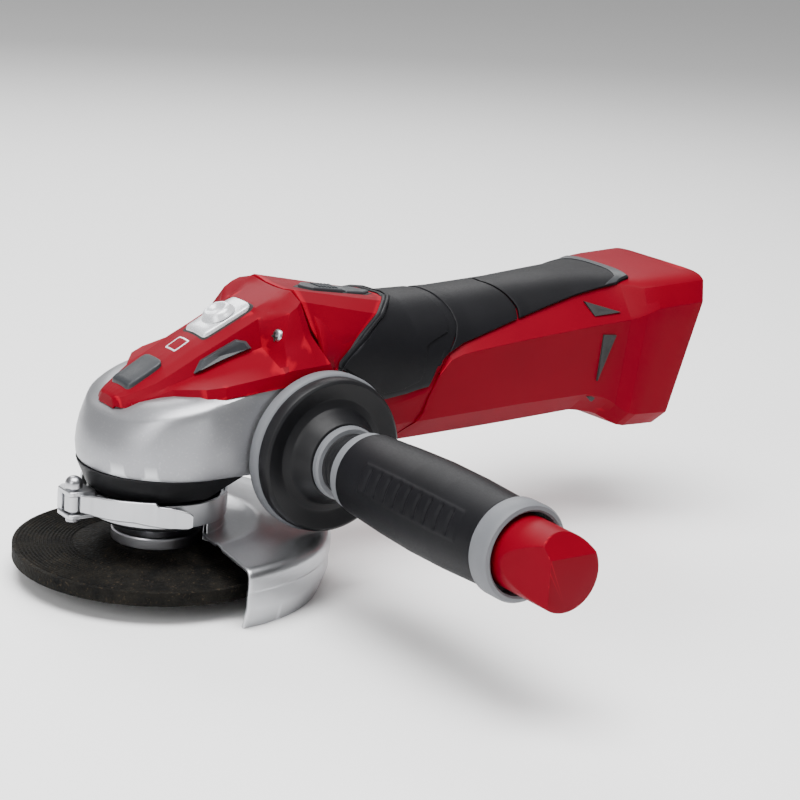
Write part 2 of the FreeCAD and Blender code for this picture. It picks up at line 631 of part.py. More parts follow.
def make_brush_gear():
    start, length = d.commutator_x - 1, d.commutator_len + 4
    tube = ring("carrier_tube", d.can_rad, d.can_rad - 3, length + 12, start + 0.5, 0, d.motor_z,
                along_x)
    web = ring("carrier_web", d.can_rad, d.rear_bearing_rad, d.rear_bearing_wide,
               d.rear_bearing_x, 0, d.motor_z, along_x)
    boxes, slots, brushes, springs = [], [], [], []
    middle = d.commutator_x + d.commutator_len / 2
    top = d.can_rad - 1
    for side in (-1, 1):
        spans = [(side * (d.commutator_rad + 1.2), side * top), (side * (d.commutator_rad + 0.2),
                 side * (d.commutator_rad + 8)), (side * (d.commutator_rad + 8.2),
                 side * (d.can_rad - 3.1))]
        spans = [pair if side > 0 else pair[::-1] for pair in spans]
        boxes.append(block(f"brush_box_{side}", (middle - 5, middle + 5), spans[0],
                           (d.motor_z - 4.5, d.motor_z + 4.5)))
        slots.append(block(f"brush_slot_{side}", (middle - 3.4, middle + 3.4),
                           (spans[0][0] - 2, spans[0][1] + 2) if side > 0 else
                           (spans[0][0] - 2, spans[0][1] + 2),
                           (d.motor_z - 3.1, d.motor_z + 3.1)))
        brushes.append(block(f"brush_{side}", (middle - 3.3, middle + 3.3), spans[1],
                             (d.motor_z - 3, d.motor_z + 3)))
        springs.append(block(f"brush_spring_{side}", (middle - 2.4, middle + 2.4), spans[2],
                             (d.motor_z - 2.4, d.motor_z + 2.4)))
    solid = fuse("carrier_solid", [tube, web] + boxes)
    node("brush_carrier", cut("brush_carrier", solid, slots))
    node("carbon_brushes", group("carbon_brushes", brushes))
    node("brush_springs", group("brush_springs", springs))


# ---- motor housing, foot and what they hold ----

def leaning(name, out, across, up):
    """A box set out from the top of the foot's rear face: outwards, across Y and up it."""
    lean = math.radians(d.foot_lean.value)
    item = doc.addObject("Part::Box", name)
    bind(item, Length=out[1] - out[0], Width=across[1] - across[0], Height=up[1] - up[0])
    x = d.foot_x + out[0] * math.cos(lean) + up[0] * math.sin(lean)
    z = d.foot_top - out[0] * math.sin(lean) + up[0] * math.cos(lean)
    turn = FreeCAD.Rotation(FreeCAD.Vector(0, 1, 0), d.foot_lean.value)
    return place(item, x, across[0], z, turn)


def octagon(half, low, high, corner):
    outline = [(half - corner, low), (half, low + corner), (half, high - corner),
               (half - corner, high)]
    return outline + [(-across, up) for across, up in outline[::-1]]


def housing_screw_places():
    return [(x, z) for x in (191, 212) for z in (61, 102)]


hump_stations = [
    (35.5, 80, 33, 99, 15, 116),
    (31, 80, 29, 95, 14, 113),
    (27.5, 80, 25, 97, 12, 109.5),
    (26, 80, 21, 97, 10, 106),
]


def make_hump():
    ends = (d.seam_x + 0.2, d.grip_front, 85, 104)
    sections = [(x, cover_outline(station, 0)) for x, station in zip(ends, hump_stations)]
    return lofted("hump", sections)


def make_housing():
    z, wall = d.motor_z, d.barrel_wall
    half, low, high = d.foot_half, d.foot_low, d.foot_top
    hump = make_hump()
    barrel = rod("barrel", d.barrel_rad, 140, d.case_rear + 0.3, 0, z, along_x)
    rear = lofted("rear_body", [
        (d.grip_rear + 0.2, octagon(d.barrel_rad - 0.5, z - 27, z + 27, 9)),
        (200, octagon(half - 7, low + 9, high - 5, 9)),
        (228, octagon(half - 6, low + 3, high - 3, 9)),
        (238, octagon(half, low, high - 1, 7)),
        (d.foot_x + 1, octagon(half, low, high, 7)),
    ])
    inner = lofted("rear_room", [
        (166, octagon(d.barrel_rad - 8, z - 20, z + 20, 6)),
        (200, octagon(half - 7 - wall, low + 9 + wall, high - 5 - wall, 8)),
        (228, octagon(half - 6 - wall, low + 3 + wall, high - 3 - wall, 8)),
        (d.foot_x + 2, octagon(half - 6 - wall, low + 3 + wall, high - 3 - wall, 6)),
    ])
    behind = leaning("behind_foot", (0, 40), (-60, 60), (-120, 40))
    slab_body = leaning("foot_slab", (-d.bay_depth - wall, 5), (-60, 60), (-120, 40))
    outer = fuse("housing_outer", [hump, barrel, rear])
    slab = common("foot_wall", rear, slab_body)
    bosses = [rod(f"boss_{index}", 5, 48, x, 24, height, along_minus_y)
              for index, (x, height) in enumerate(housing_screw_places())]
    can_room = rod("can_room", d.can_rad + d.neck_gap, 146, d.case_rear - 8, 0, z, along_x)
    hollow = cut("housing_hollow", outer, [
        can_room, inner,
        block("case_back_room", (40, d.case_rear + 0.3), (-50, 50), (40, d.case_top + 0.3)),
        rod("case_seat_room", d.front_bearing_rad + 6.3, 12, 48, 0, z, along_x),
    ])
    solid = fuse("housing_solid", [hollow, slab] + bosses)
    up_low = (d.bay_low - high) / math.cos(math.radians(d.foot_lean.value))
    tools = [
        behind,
        leaning("bay", (-d.bay_depth, 3), (-d.bay_half, d.bay_half), (up_low, 30)),
        block("link_groove", (56, 185.5), (-2.4, 2.4), (z + 18, z + 26.7)),
        block("slide_slot", (53.4, 97), (-d.slide_half - d.slide_gap, d.slide_half + d.slide_gap),
              (z + 26, z + 34)),
        block("slide_mouth", (d.slide_front, 97),
              (-d.slide_half - d.slide_gap, d.slide_half + d.slide_gap), (z + 26, 130)),
    ]
    for side in (-1, 1):
        tools.append(rod(f"housing_tapped_{side}", d.screw_rad, 12, d.seam_x - 2,
                         side * d.head_screw_y, d.head_screw_z, along_x))
    for number, corners in enumerate(([(192, 103.5), (197, 98.5), (208, 98)],
                                      [(200, 87.5), (208, 86), (201, 67.5)])):
        tools.append(padded(f"vent_{number}", corners, 100, 0, 50, 0, along_minus_y))
    for index, (x, height) in enumerate(housing_screw_places()):
        tools.append(rod(f"boss_hole_{index}", d.screw_rad + 0.2, 36, x, 16, height,
                         along_minus_y))
        tools.append(rod(f"boss_sink_{index}", d.screw_head + 0.3, 40, x, -20, height,
                         along_minus_y))
    split("housing", cut("housing_shell", solid, tools))
    tube = ring("grip_tube", d.barrel_rad + d.grip_thick, d.barrel_rad + d.fit_gap,
                d.grip_rear - d.grip_front, d.grip_front, 0, z, along_x)
    split("grip_cover", cut("grip_shell", tube, [hump]))
    screws = [screw(f"housing_screw_{index}", d.screw_rad, d.screw_head, 34, 3, x, -20, height,
                    along_y) for index, (x, height) in enumerate(housing_screw_places())]
    node("housing_screws", group("housing_screws", screws))


def make_switch():
    z = d.motor_z
    front, length = d.slide_front + 0.4, d.slide_len
    top_front, top_rear = z + 33.4, z + 30.6
    pad = padded("slide_pad", [(front, z + 28), (front + length, z + 26.6),
                               (front + length, top_rear), (front, top_front)],
                 2 * d.slide_half, 0, d.slide_half, 0, along_minus_y)
    node("switch_slider", pad)
    riser = block("link_riser", (front + 4, front + 10), (-1.8, 1.8), (z + 26.3, z + 27.2))
    bar = block("link_bar", (front + 4, 182), (-1.8, 1.8), (z + 24.7, z + 26.3))
    finger = block("link_finger", (178.5, 182), (-1.8, 1.8), (z + 15.9, z + 24.7))
    node("switch_link", fuse("switch_link", [riser, bar, finger]))
    start = front + length + 0.6
    rear = padded("slide_rear", [(start, z + 26.8), (96, z + 26.8), (96, z + 27.2),
                                 (start, z + 29.4)], 2 * d.slide_half, 0, d.slide_half, 0,
                  along_minus_y)
    node("switch_rear_pad", rear)
    board_z = z - 13.5
    node("control_board", block("control_board", (176, 225), (-20.2, 20.2),
                                (board_z, board_z + 1.6)))
    node("switch_block", block("switch_block", (170, 196), (-9, 9), (board_z + 1.6, z + 15.5)))
    base = leaning("terminal_block", (-d.bay_depth, -d.bay_depth + 6), (-13, 13), (-60, -40))
    slots, blades = [], []
    for index in range(5):
        y = -10 + 5 * index
        slots.append(leaning(f"terminal_slot_{index}", (-d.bay_depth + 1, 0), (y - 0.6, y + 0.6),
                             (-58, -30)))
        blades.append(leaning(f"terminal_{index}", (-d.bay_depth + 1, -d.bay_depth + 5),
                              (y - 0.4, y + 0.4), (-57.8, -36)))
    node("terminal_block", cut("terminal_block_cut", base, slots))
    node("battery_contacts", group("battery_contacts", blades))


# ---- guard, its band and the clamp lever ----

def make_guard():
    rad, thick, top = d.guard_rad, d.guard_thick, d.guard_top
    inner = d.neck_rad + d.neck_gap
    skirt_low = top - d.guard_skirt
    lip_rad = rad - d.guard_lip_in
    points = [(inner, top - thick), (rad - thick, top - thick), (rad - thick, skirt_low),
              (lip_rad - thick, d.guard_lip_low), (lip_rad, d.guard_lip_low), (rad, skirt_low),
              (rad, top), (inner, top)]
    cover = revolved("guard_bell", points)
    sector = padded("guard_sector", [(1.5, -90), (9, -12), (9, 12), (1.5, 90), (90, 90),
                                     (90, -90)], 60, 0, 0, -20)
    collar = ring("guard_collar", inner + 1.5, inner, d.collar_top - d.band_low, 0, 0, d.band_low)
    skirt = ring("guard_root", inner + 1.5, inner, d.band_low - top + thick + 1, 0, 0, top - thick)
    rear = common("guard_half", fuse("guard_rear", [cover, skirt]), sector)
    node("guard", fuse("guard", [rear, collar]))
    band_in = inner + 1.5 + d.fit_gap
    band = ring("band_ring", d.band_rad, band_in, d.band_top - d.band_low, 0, 0, d.band_low)
    slit = block("band_slit", (-40, 0), (-3, 3), (0, 60))
    out, near = -d.hinge_rad - 3.6, -d.band_rad + 1
    clear_of_plate = -d.plate_rad - 2.2
    ears = [block("band_ear_upper", (out, clear_of_plate), (-3.4, 8), (37.3, 39.2)),
            block("band_ear_lower", (out, near), (-3.4, 8), (27, 29)),
            block("band_cheek", (out, near), (4.4, 8), (27, 36.4)),
            block("band_cheek_top", (out, clear_of_plate), (4.4, 8), (36, 39.2))]
    hole = rod("band_pin_hole", d.hinge_pin_rad, 40, -d.hinge_rad, 0, 10)
    clear = rod("band_neck_room", band_in, 60, 0, 0, 10)
    solid = fuse("band_solid", [cut("band_open", band, [slit])] + ears)
    node("guard_band", cut("guard_band", solid, [hole, clear]))
    shank = rod("hinge_shank", d.hinge_pin_rad, 14.5, -d.hinge_rad, 0, 26)
    head = rod("hinge_head", 3.4, 3, -d.hinge_rad, 0, 39.2)
    node("hinge_pin", fuse("hinge_pin", [shank, head]))


def make_clamp_lever():
    low, high = 29.3, 37
    rad, thick = d.lever_rad, d.lever_thick
    hub = rod("lever_hub", 3.4, high - low, -d.hinge_rad, 0, low)
    arm = ring("lever_ring", rad, rad - thick, high - low, 0, 0, low)
    sector = padded("lever_sector", [(-3, -60), (-3, -20), (-30, -1.5), (-60, -1.5), (-60, -60)],
                    60, 0, 0, 0)
    web = block("lever_web", (-d.hinge_rad - 1, -rad + thick + 0.4), (-6, -1.6), (low, high))
    bore = rod("lever_bore", d.hinge_pin_rad + 0.1, 40, -d.hinge_rad, 0, 10)
    solid = fuse("lever_solid", [hub, common("lever_arm", arm, sector), web])
    node("clamp_lever", cut("clamp_lever", solid, [bore]))


# ---- side handle: all turned about one axis, distances measured towards -Y ----

def handle_piece(name, points):
    return node(name, revolved(name, points, d.handle_x, 0, d.handle_z, along_minus_y))


def make_side_handle():
    bore, start, rim = d.stud_rad, d.handle_start, d.rim_rad
    face = start + d.rim_wide
    seat, neck = 24, 12.5
    handle_piece("handle_stud", [(0, 20.5), (bore - 0.3, 20.5), (bore - 0.1, 22),
                                 (bore - 0.1, 95), (0, 95)])
    handle_piece("handle_rim", [(seat, start), (rim, start), (rim, face), (seat, face)])
    handle_piece("handle_flange", [(bore, start), (seat, start), (seat, face), (rim - 0.8, face),
                                   (rim - 0.8, face + 2.4), (14, 55), (13, 57), (bore, 57)])
    rings = [ring(f"damper_ring_{begin}", d.ring_rad + grow, bore, end - begin, d.handle_x, -begin,
                  d.handle_z, along_minus_y) for begin, end, grow in ((57, 60, -0.4), (71, 75, 0.4))]
    node("damper_rings", group("damper_rings", rings))
    handle_piece("handle_neck", [(bore, 60), (neck, 60), (neck, 71), (bore, 71)])
    inner = d.core_round + d.neck_gap
    handle_piece("handle_grip", [(inner, d.grip_start), (16.4, d.grip_start), (d.grip_rad, 98),
                                 (d.grip_rad, 142), (17.4, d.grip_end), (inner, d.grip_end)])
    handle_piece("handle_end_ring", [(inner, d.grip_end), (d.grip_rad, d.grip_end),
                                     (d.grip_rad, d.ring_end), (15.6, d.ring_end),
                                     (15.6, d.ring_end - 5), (inner, d.ring_end - 5)])
    core = revolved("core_round", [(0, 96), (bore, 96), (bore, d.grip_start),
                                   (d.core_round, d.grip_start), (d.core_round, d.core_end),
                                   (0, d.core_end)],
                    d.handle_x, 0, d.handle_z, along_minus_y)
    scoop = block("core_scoop", (d.handle_x - 20, d.handle_x - 3), (-210, -187),
                  (d.handle_z - 12, d.handle_z + 20))
    across = FreeCAD.Rotation(FreeCAD.Vector(0, -1, 0), FreeCAD.Vector(0, 0, 1),
                              FreeCAD.Vector(-1, 0, 0), "XYZ")
    chisel = padded("core_chisel", [(178, 15), (201, 2), (201, 15)], 60, d.handle_x + 30, 0,
                    d.handle_z, across)
    node("handle_core", cut("handle_core", core, [scoop, chisel]))


def check_and_write():
    doc.recompute()
    for item in doc.Objects:
        if {"Invalid", "Error"} & set(item.State):
            raise RuntimeError(f"{item.Label} did not build: {item.State}")
    for name, item in sub_parts.items():
        if item.Shape.isNull() or not item.Shape.isValid():
            raise RuntimeError(f"{name} has no valid shape")
    os.makedirs("parts", exist_ok=True)
    for name, item in sub_parts.items():
        item.Shape.exportStep(f"parts/{name}.step")
        print(f"{name}: {len(item.Shape.Solids)} solids, {item.Shape.Volume:.1f} mm3")


make_disc()
make_flange_nut()
make_inner_flange()
make_spindle()
make_spindle_bearings()
make_crown_gear()
make_pinion()
make_gear_case()
make_bearing_cover()
make_head_cover()
make_cover_trim()
make_spindle_lock()
make_armature()
make_motor_bearings()
make_motor_field()
make_brush_gear()
make_housing()
make_switch()
make_guard()
make_clamp_lever()
make_side_handle()
check_and_write()
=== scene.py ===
import json
import math

import bmesh
import bpy
import numpy as np
from mathutils import Matrix, Vector


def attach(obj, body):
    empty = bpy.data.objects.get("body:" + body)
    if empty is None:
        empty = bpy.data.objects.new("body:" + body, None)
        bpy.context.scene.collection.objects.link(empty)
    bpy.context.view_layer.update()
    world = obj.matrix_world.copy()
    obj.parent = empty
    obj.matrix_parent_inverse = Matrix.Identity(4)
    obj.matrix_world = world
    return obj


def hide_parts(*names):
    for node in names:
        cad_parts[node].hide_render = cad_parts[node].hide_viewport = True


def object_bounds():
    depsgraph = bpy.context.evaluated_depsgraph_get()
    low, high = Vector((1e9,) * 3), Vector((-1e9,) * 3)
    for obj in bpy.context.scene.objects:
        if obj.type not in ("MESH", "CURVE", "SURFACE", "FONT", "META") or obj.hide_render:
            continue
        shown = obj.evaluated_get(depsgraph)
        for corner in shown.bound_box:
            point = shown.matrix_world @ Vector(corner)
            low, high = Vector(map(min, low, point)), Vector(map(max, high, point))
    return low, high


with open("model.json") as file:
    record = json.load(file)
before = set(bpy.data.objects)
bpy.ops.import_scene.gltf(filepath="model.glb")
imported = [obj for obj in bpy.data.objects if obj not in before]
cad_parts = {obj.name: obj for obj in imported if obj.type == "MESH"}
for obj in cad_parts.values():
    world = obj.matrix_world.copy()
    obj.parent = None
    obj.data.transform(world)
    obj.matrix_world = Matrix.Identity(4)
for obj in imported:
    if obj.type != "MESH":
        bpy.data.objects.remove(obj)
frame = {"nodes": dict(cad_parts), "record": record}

cadBox = [list(corner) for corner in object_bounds()]
mm = 0.001  # the shapes below are worked out in millimetres and stored in metres
nodes = frame["nodes"]


# materials

def newMaterial(name):
    # a node material, its shader and the object's own coordinates
    material = bpy.data.materials.new(name)
    material.use_nodes = True
    tree = material.node_tree
    shader = tree.nodes["Principled BSDF"]
    coords = tree.nodes.new("ShaderNodeTexCoord")
    return material, tree, shader, coords.outputs["Object"]


def wired(tree, kind, inputs):
    # a new node; each input is given its number or colour, or the socket that feeds it
    node = tree.nodes.new(kind)
    for name, value in inputs.items():
        if isinstance(value, bpy.types.NodeSocket):
            tree.links.new(value, node.inputs[name])
        else:
            node.inputs[name].default_value = value
    return node


def noiseField(tree, vector, scale, detail=4, rough=0.55, stretch=None):
    # a noise value between 0 and 1 from the object's own coordinates, stretched if asked
    if stretch:
        mapping = wired(tree, "ShaderNodeMapping", {"Vector": vector, "Scale": stretch})
        vector = mapping.outputs["Vector"]
    noise = wired(tree, "ShaderNodeTexNoise", {"Vector": vector, "Scale": scale,
                                               "Detail": detail, "Roughness": rough})
    return noise.outputs["Fac"]


def remapped(tree, value, low, high, fromLow=0.3, fromHigh=0.7):
    # stretches the range fromLow to fromHigh to the range low to high
    spread = wired(tree, "ShaderNodeMapRange", {"Value": value, "From Min": fromLow,
                                                "From Max": fromHigh, "To Min": low,
                                                "To Max": high})
    return spread.outputs["Result"]


def blended(tree, value, first, second):
    # a colour that goes from the first to the second as the value goes from 0 to 1
    node = tree.nodes.new("ShaderNodeMix")
    node.data_type = "RGBA"
    for slot, colour in (("A", first), ("B", second)):
        socket = [s for s in node.inputs if s.name == slot and s.type == "RGBA"][0]
        if isinstance(colour, bpy.types.NodeSocket):
            tree.links.new(colour, socket)
        else:
            socket.default_value = (*colour, 1)
    tree.links.new(value, node.inputs["Factor"])
    return [s for s in node.outputs if s.type == "RGBA"][0]


def bumped(tree, shader, height, strength, distance):
    # tilts the shading by the slope of a height value
    bump = wired(tree, "ShaderNodeBump", {"Height": height, "Strength": strength,
                                          "Distance": distance})
    tree.links.new(bump.outputs["Normal"], shader.inputs["Normal"])


def edgeWear(tree, colour, worn, start, end):
    # lighter where the mesh is convex, as on rubbed edges
    geometry = tree.nodes.new("ShaderNodeNewGeometry")
    wear = remapped(tree, geometry.outputs["Pointiness"], 0, 1, start, end)
    return blended(tree, wear, colour, worn)


def surfaceFinish(name, look):
    # colour variation, roughness variation and grain from three noises; edges rubbed lighter
    material, tree, shader, vector = newMaterial(name)
    broad = noiseField(tree, vector, look.get("broadScale", 35), 3)
    colour = blended(tree, remapped(tree, broad, 0, 1), look["colour"], look["second"])
    if "speckle" in look:
        spots = noiseField(tree, vector, look["speckleScale"], 2)
        where = remapped(tree, spots, 0, look.get("speckleAmount", 1), 0.56, 0.72)
        colour = blended(tree, where, colour, look["speckle"])
    if "worn" in look:
        colour = edgeWear(tree, colour, look["worn"], 0.52, 0.6)
    tree.links.new(colour, shader.inputs["Base Color"])
    fine = noiseField(tree, vector, look["grainScale"], 5, 0.6, look.get("stretch"))
    low, high = look["rough"]
    tree.links.new(remapped(tree, fine, low, high), shader.inputs["Roughness"])
    shader.inputs["Metallic"].default_value = look.get("metallic", 0)
    shader.inputs["Specular IOR Level"].default_value = look.get("specular", 0.3)
    shader.inputs["Coat Weight"].default_value = look.get("coat", 0)
    shader.inputs["Coat Roughness"].default_value = 0.2
    bumped(tree, shader, fine, look.get("bump", 0.2), look.get("bumpDepth", 0.0002))
    return material


# colours are linear; worn is the colour of rubbed edges, speckle that of small spots
finishLooks = dict(
    redNylon=dict(
        colour=(0.16, 0.0001, 0.0075), second=(0.14, 0.0001, 0.0065), worn=(0.25, 0.001, 0.011),
        grainScale=2600, rough=(0.40, 0.50), bump=0.12, bumpDepth=0.00006, specular=0.05,
        broadScale=22),
    softBlack=dict(
        colour=(0.0045, 0.0045, 0.0055), second=(0.007, 0.007, 0.0085), worn=(0.016, 0.016, 0.018),
        grainScale=1800, rough=(0.42, 0.56), bump=0.3, bumpDepth=0.00012, specular=0.1,
        broadScale=28),
    darkNylon=dict(
        colour=(0.005, 0.005, 0.006), second=(0.008, 0.008, 0.009), worn=(0.03, 0.03, 0.032),
        grainScale=2200, rough=(0.36, 0.5), bump=0.25, bumpDepth=0.0001, specular=0.18),
    greyElastomer=dict(
        colour=(0.085, 0.09, 0.1), second=(0.105, 0.11, 0.12), worn=(0.16, 0.165, 0.175),
        grainScale=1500, rough=(0.45, 0.6), bump=0.25, bumpDepth=0.0001),
    slateNylon=dict(
        colour=(0.016, 0.018, 0.021), second=(0.022, 0.024, 0.028), worn=(0.05, 0.055, 0.06),
        grainScale=2000, rough=(0.35, 0.48), bump=0.25, bumpDepth=0.0001),
    satinCasting=dict(
        colour=(0.31, 0.313, 0.328), second=(0.28, 0.283, 0.298), worn=(0.56, 0.57, 0.59),
        speckle=(0.38, 0.385, 0.4), speckleScale=900, speckleAmount=0.4,
        grainScale=3200, rough=(0.30, 0.42), metallic=0.75, bump=0.35, bumpDepth=0.00008),
    blackCasting=dict(
        colour=(0.004, 0.004, 0.0045), second=(0.006, 0.006, 0.007), worn=(0.03, 0.03, 0.032),
        grainScale=1600, rough=(0.42, 0.56), bump=0.4, bumpDepth=0.00015, specular=0.16),
    turnedSteel=dict(
        colour=(0.36, 0.36, 0.38), second=(0.32, 0.32, 0.34), worn=(0.6, 0.6, 0.62),
        grainScale=400, stretch=(1, 1, 14), rough=(0.28, 0.36), metallic=1, bump=0.03,
        bumpDepth=0.00005),
    zincPlate=dict(
        colour=(0.44, 0.445, 0.46), second=(0.38, 0.385, 0.40), worn=(0.62, 0.63, 0.65),
        grainScale=900, stretch=(1, 1, 5), rough=(0.28, 0.40), metallic=1, bump=0.08,
        bumpDepth=0.00005),
    whiteNylon=dict(
        colour=(0.62, 0.63, 0.65), second=(0.56, 0.57, 0.6), worn=(0.8, 0.8, 0.82),
        grainScale=2400, rough=(0.22, 0.34), metallic=0.35, bump=0.1, bumpDepth=0.00005,
        coat=0.3),
    brassAlloy=dict(
        colour=(0.55, 0.32, 0.12), second=(0.45, 0.24, 0.1), worn=(0.8, 0.55, 0.3),
        grainScale=700, rough=(0.25, 0.45), metallic=1, bump=0.15, bumpDepth=0.00005),
    # ferrite black for magnets and carbon; the same black is also painted shade in gaps, hollows and
    # recesses
    ferriteAndShadeBlack=dict(
        colour=(0.006, 0.006, 0.006), second=(0.01, 0.01, 0.01), worn=(0.02, 0.02, 0.02),
        grainScale=800, rough=(0.6, 0.8), bump=0.4, bumpDepth=0.0001),
    boardGreen=dict(
        colour=(0.01, 0.09, 0.03), second=(0.015, 0.12, 0.04), speckle=(0.6, 0.42, 0.15),
        speckleScale=500, grainScale=900, rough=(0.3, 0.45), bump=0.2, bumpDepth=0.0001))


gritLook = dict(grain=950, mottle=130, spots=700, dark=(0.0015, 0.0015, 0.0014),
                grey=(0.009, 0.0078, 0.006), brown=(0.04, 0.031, 0.022), rough=(0.62, 0.9),
                specular=0.1, bump=0.6, bumpDepth=0.0004)


def abrasiveGrain():
    # resin-bonded grit: dark grain with brown spots and a rough, pitted bump
    look = gritLook
    material, tree, shader, vector = newMaterial("abrasiveGrain")
    grit = wired(tree, "ShaderNodeTexVoronoi", {"Vector": vector, "Scale": look["grain"]})
    mottled = noiseField(tree, vector, look["mottle"], 6, 0.7)
    spots = noiseField(tree, vector, look["spots"], 3, 0.6)
    base = blended(tree, remapped(tree, mottled, 0, 1, 0.38, 0.66), look["dark"], look["grey"])
    colour = blended(tree, remapped(tree, spots, 0, 0.8, 0.58, 0.72), base, look["brown"])
    tree.links.new(colour, shader.inputs["Base Color"])
    tree.links.new(remapped(tree, spots, *look["rough"]), shader.inputs["Roughness"])
    shader.inputs["Specular IOR Level"].default_value = look["specular"]
    bumped(tree, shader, grit.outputs["Distance"], look["bump"], look["bumpDepth"])
    return material


finishes = {name: surfaceFinish(name, look) for name, look in finishLooks.items()}
finishes["abrasiveGrain"] = abrasiveGrain()
print("materials made:", len(finishes))

# a finish and the record slot that it fills
redShell = ("redNylon", "red_plastic")
blackGrip = ("softBlack", "black_soft")
slateGrip = ("slateNylon", "black_soft")
slatePart = ("slateNylon", "dark_plastic")
darkPart = ("darkNylon", "dark_plastic")
darkBay = ("darkNylon", "red_plastic")
# the black of painted shade, put in gaps, hollows and openings where shade falls
paintedShadeBlack = ("ferriteAndShadeBlack", "dark_plastic")
greyRing = ("greyElastomer", "grey_soft")
silverCast = ("satinCasting", "silver_casting")
blackCast = ("blackCasting", "black_casting")
zincSheet = ("zincPlate", "zinc_steel")
steelPart = ("turnedSteel", "steel")
screwHead = ("turnedSteel", "zinc_steel")
whiteKey = ("whiteNylon", "white_button")


# mesh makers

flipY = np.array([1, -1, 1])
sides = ((-1, "Left"), (1, "Right"))


def gridFaces(rows, columns, wrap=False):
    # quads between neighbouring grid points; wrap joins the last column to the first
    across = columns if wrap else columns - 1
    row, column = np.meshgrid(np.arange(rows - 1), np.arange(across), indexing="ij")
    after = (column + 1) % columns
    quads = np.stack([row * columns + column, row * columns + after,
                      (row + 1) * columns + after, (row + 1) * columns + column], -1)
    return quads.reshape(-1, 4)


def surfaceFrom(name, points, wrap=False, capped=False):
    # points is a grid of places in millimetres, rows by columns by 3
    rows, columns = points.shape[:2]
    verts = points.reshape(-1, 3)
    faces = gridFaces(rows, columns, wrap).tolist()
    if capped:
        faces.append(list(range(columns))[::-1])
        faces.append(list(range((rows - 1) * columns, rows * columns)))
    return meshFrom(name, verts, faces, closed=capped or wrap)


def lofted(name, layers):
    # closed outlines with equal counts of points, joined one to the next and capped
    return surfaceFrom(name, np.stack(layers), wrap=True, capped=True)


def meshFrom(name, verts, faces, closed=True):
    # doubles are merged, then the faces of a closed shell are turned outwards
    mesh = bpy.data.meshes.new(name)
    mesh.from_pydata((np.asarray(verts, float) * mm).tolist(), [], faces)
    work = bmesh.new()
    work.from_mesh(mesh)
    bmesh.ops.remove_doubles(work, verts=work.verts, dist=1e-6)
    bmesh.ops.dissolve_degenerate(work, edges=work.edges, dist=1e-7)
    if closed:
        bmesh.ops.recalc_face_normals(work, faces=work.faces)
    work.to_mesh(mesh)
    work.free()
    piece = bpy.data.objects.new(name, mesh)
    bpy.context.scene.collection.objects.link(piece)
    return piece


def dressed(piece, body, material, slot, wall=0, edge=0, segments=2, angle=32, smooth=38):
    # wall thickens a sheet inwards, edge rounds its sharp edges; then it rides on its body
    piece.data.materials.clear()
    piece.data.materials.append(finishes[material])
    piece.data.shade_smooth()
    piece.data.set_sharp_from_angle(angle=math.radians(smooth))
    if wall:
        solidify = piece.modifiers.new("wall", "SOLIDIFY")
        solidify.thickness = wall * mm
        solidify.offset = -1
    if edge:
        bevel = piece.modifiers.new("edge", "BEVEL")
        bevel.width = edge * mm
        bevel.segments = segments
        bevel.limit_method = "ANGLE"
        bevel.angle_limit = math.radians(angle)
        bevel.harden_normals = False
    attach(piece, body)
    return piece


def turned(name, profile, origin, axis="Z", count=96, start=0, sweep=360):
    # profile is (radius, distance along the axis); it is carried round the axis
    profile = np.array(profile, float)
    full = sweep >= 360
    angles = np.radians(start + np.linspace(0, sweep, count + (not full), endpoint=not full))
    radius, along = profile[:, 0][:, None], profile[:, 1][:, None]
    first, second = radius * np.cos(angles), radius * np.sin(angles)
    third = np.broadcast_to(along, first.shape)
    order = {"Z": (first, second, third), "X": (third, first, second),
             "-Y": (first, -third, second)}[axis]
    points = np.stack(order, -1) + np.array(origin)
    return surfaceFrom(name, points, wrap=full)


def squared(value, power):
    # a sine or cosine with its sign kept: power 2 gives a circle, more a squarer outline
    return np.sign(value) * np.abs(value) ** (2 / power)


def atHeight(outline, height):
    # an outline in X and Y, lifted to one height or to one height for each point
    return np.column_stack([outline, np.broadcast_to(height, len(outline))])


def shrunk(outline, scale):
    # the outline drawn in towards its middle
    middle = outline.mean(0)
    return middle + (outline - middle) * scale


def tableAt(table, x):
    # every value of a table of stations at x, by straight runs between its rows
    table = np.array(table)
    return [np.interp(x, table[:, 0], column) for column in table.T[1:]]


def lineAt(points, places, where):
    # each value of a line whose points stand at places, read at where
    return np.stack([np.interp(where, places, values) for values in points.T], -1)


def lineThrough(points, per):
    # straight runs between corner points, each cut into the same number of steps
    points = np.asarray(points, float)
    where = np.linspace(0, len(points) - 1, (len(points) - 1) * per + 1)
    return lineAt(points, np.arange(len(points)), where)


def lineLength(corners, count):
    # count places spread evenly along a corner line of any number of values
    corners = np.asarray(corners, float)
    steps = np.linalg.norm(np.diff(corners, axis=0), axis=1)
    along = np.concatenate([[0], np.cumsum(steps)])
    return lineAt(corners, along, np.linspace(0, along[-1], count))


def mirrored(half):
    # half runs from the left side to the middle plane; its mirror completes the line
    mirror = half[..., ::-1, :][..., 1:, :] * flipY
    return np.concatenate([half, mirror], axis=-2)


def upwardFaces(piece, above=-1.0):
    # turns a sheet over when most of its area, of what lies above a height, faces the floor
    mesh = piece.data
    normals, centres = np.zeros(len(mesh.polygons) * 3), np.zeros(len(mesh.polygons) * 3)
    areas = np.zeros(len(mesh.polygons))
    mesh.polygons.foreach_get("normal", normals)
    mesh.polygons.foreach_get("center", centres)
    mesh.polygons.foreach_get("area", areas)
    areas[centres[2::3] <= above] = 0
    if (normals[2::3] * areas).sum() < 0:
        mesh.flip_normals()


def blockOf(name, low, high):
    # a box between two opposite corners
    low, high = np.array(low, float), np.array(high, float)
    pick = np.array([[x, y, z] for z in (0, 1) for y in (0, 1) for x in (0, 1)])
    faces = [[0, 2, 3, 1], [4, 5, 7, 6], [0, 1, 5, 4], [2, 6, 7, 3], [0, 4, 6, 2], [1, 3, 7, 5]]
    return meshFrom(name, low + pick * (high - low), faces)


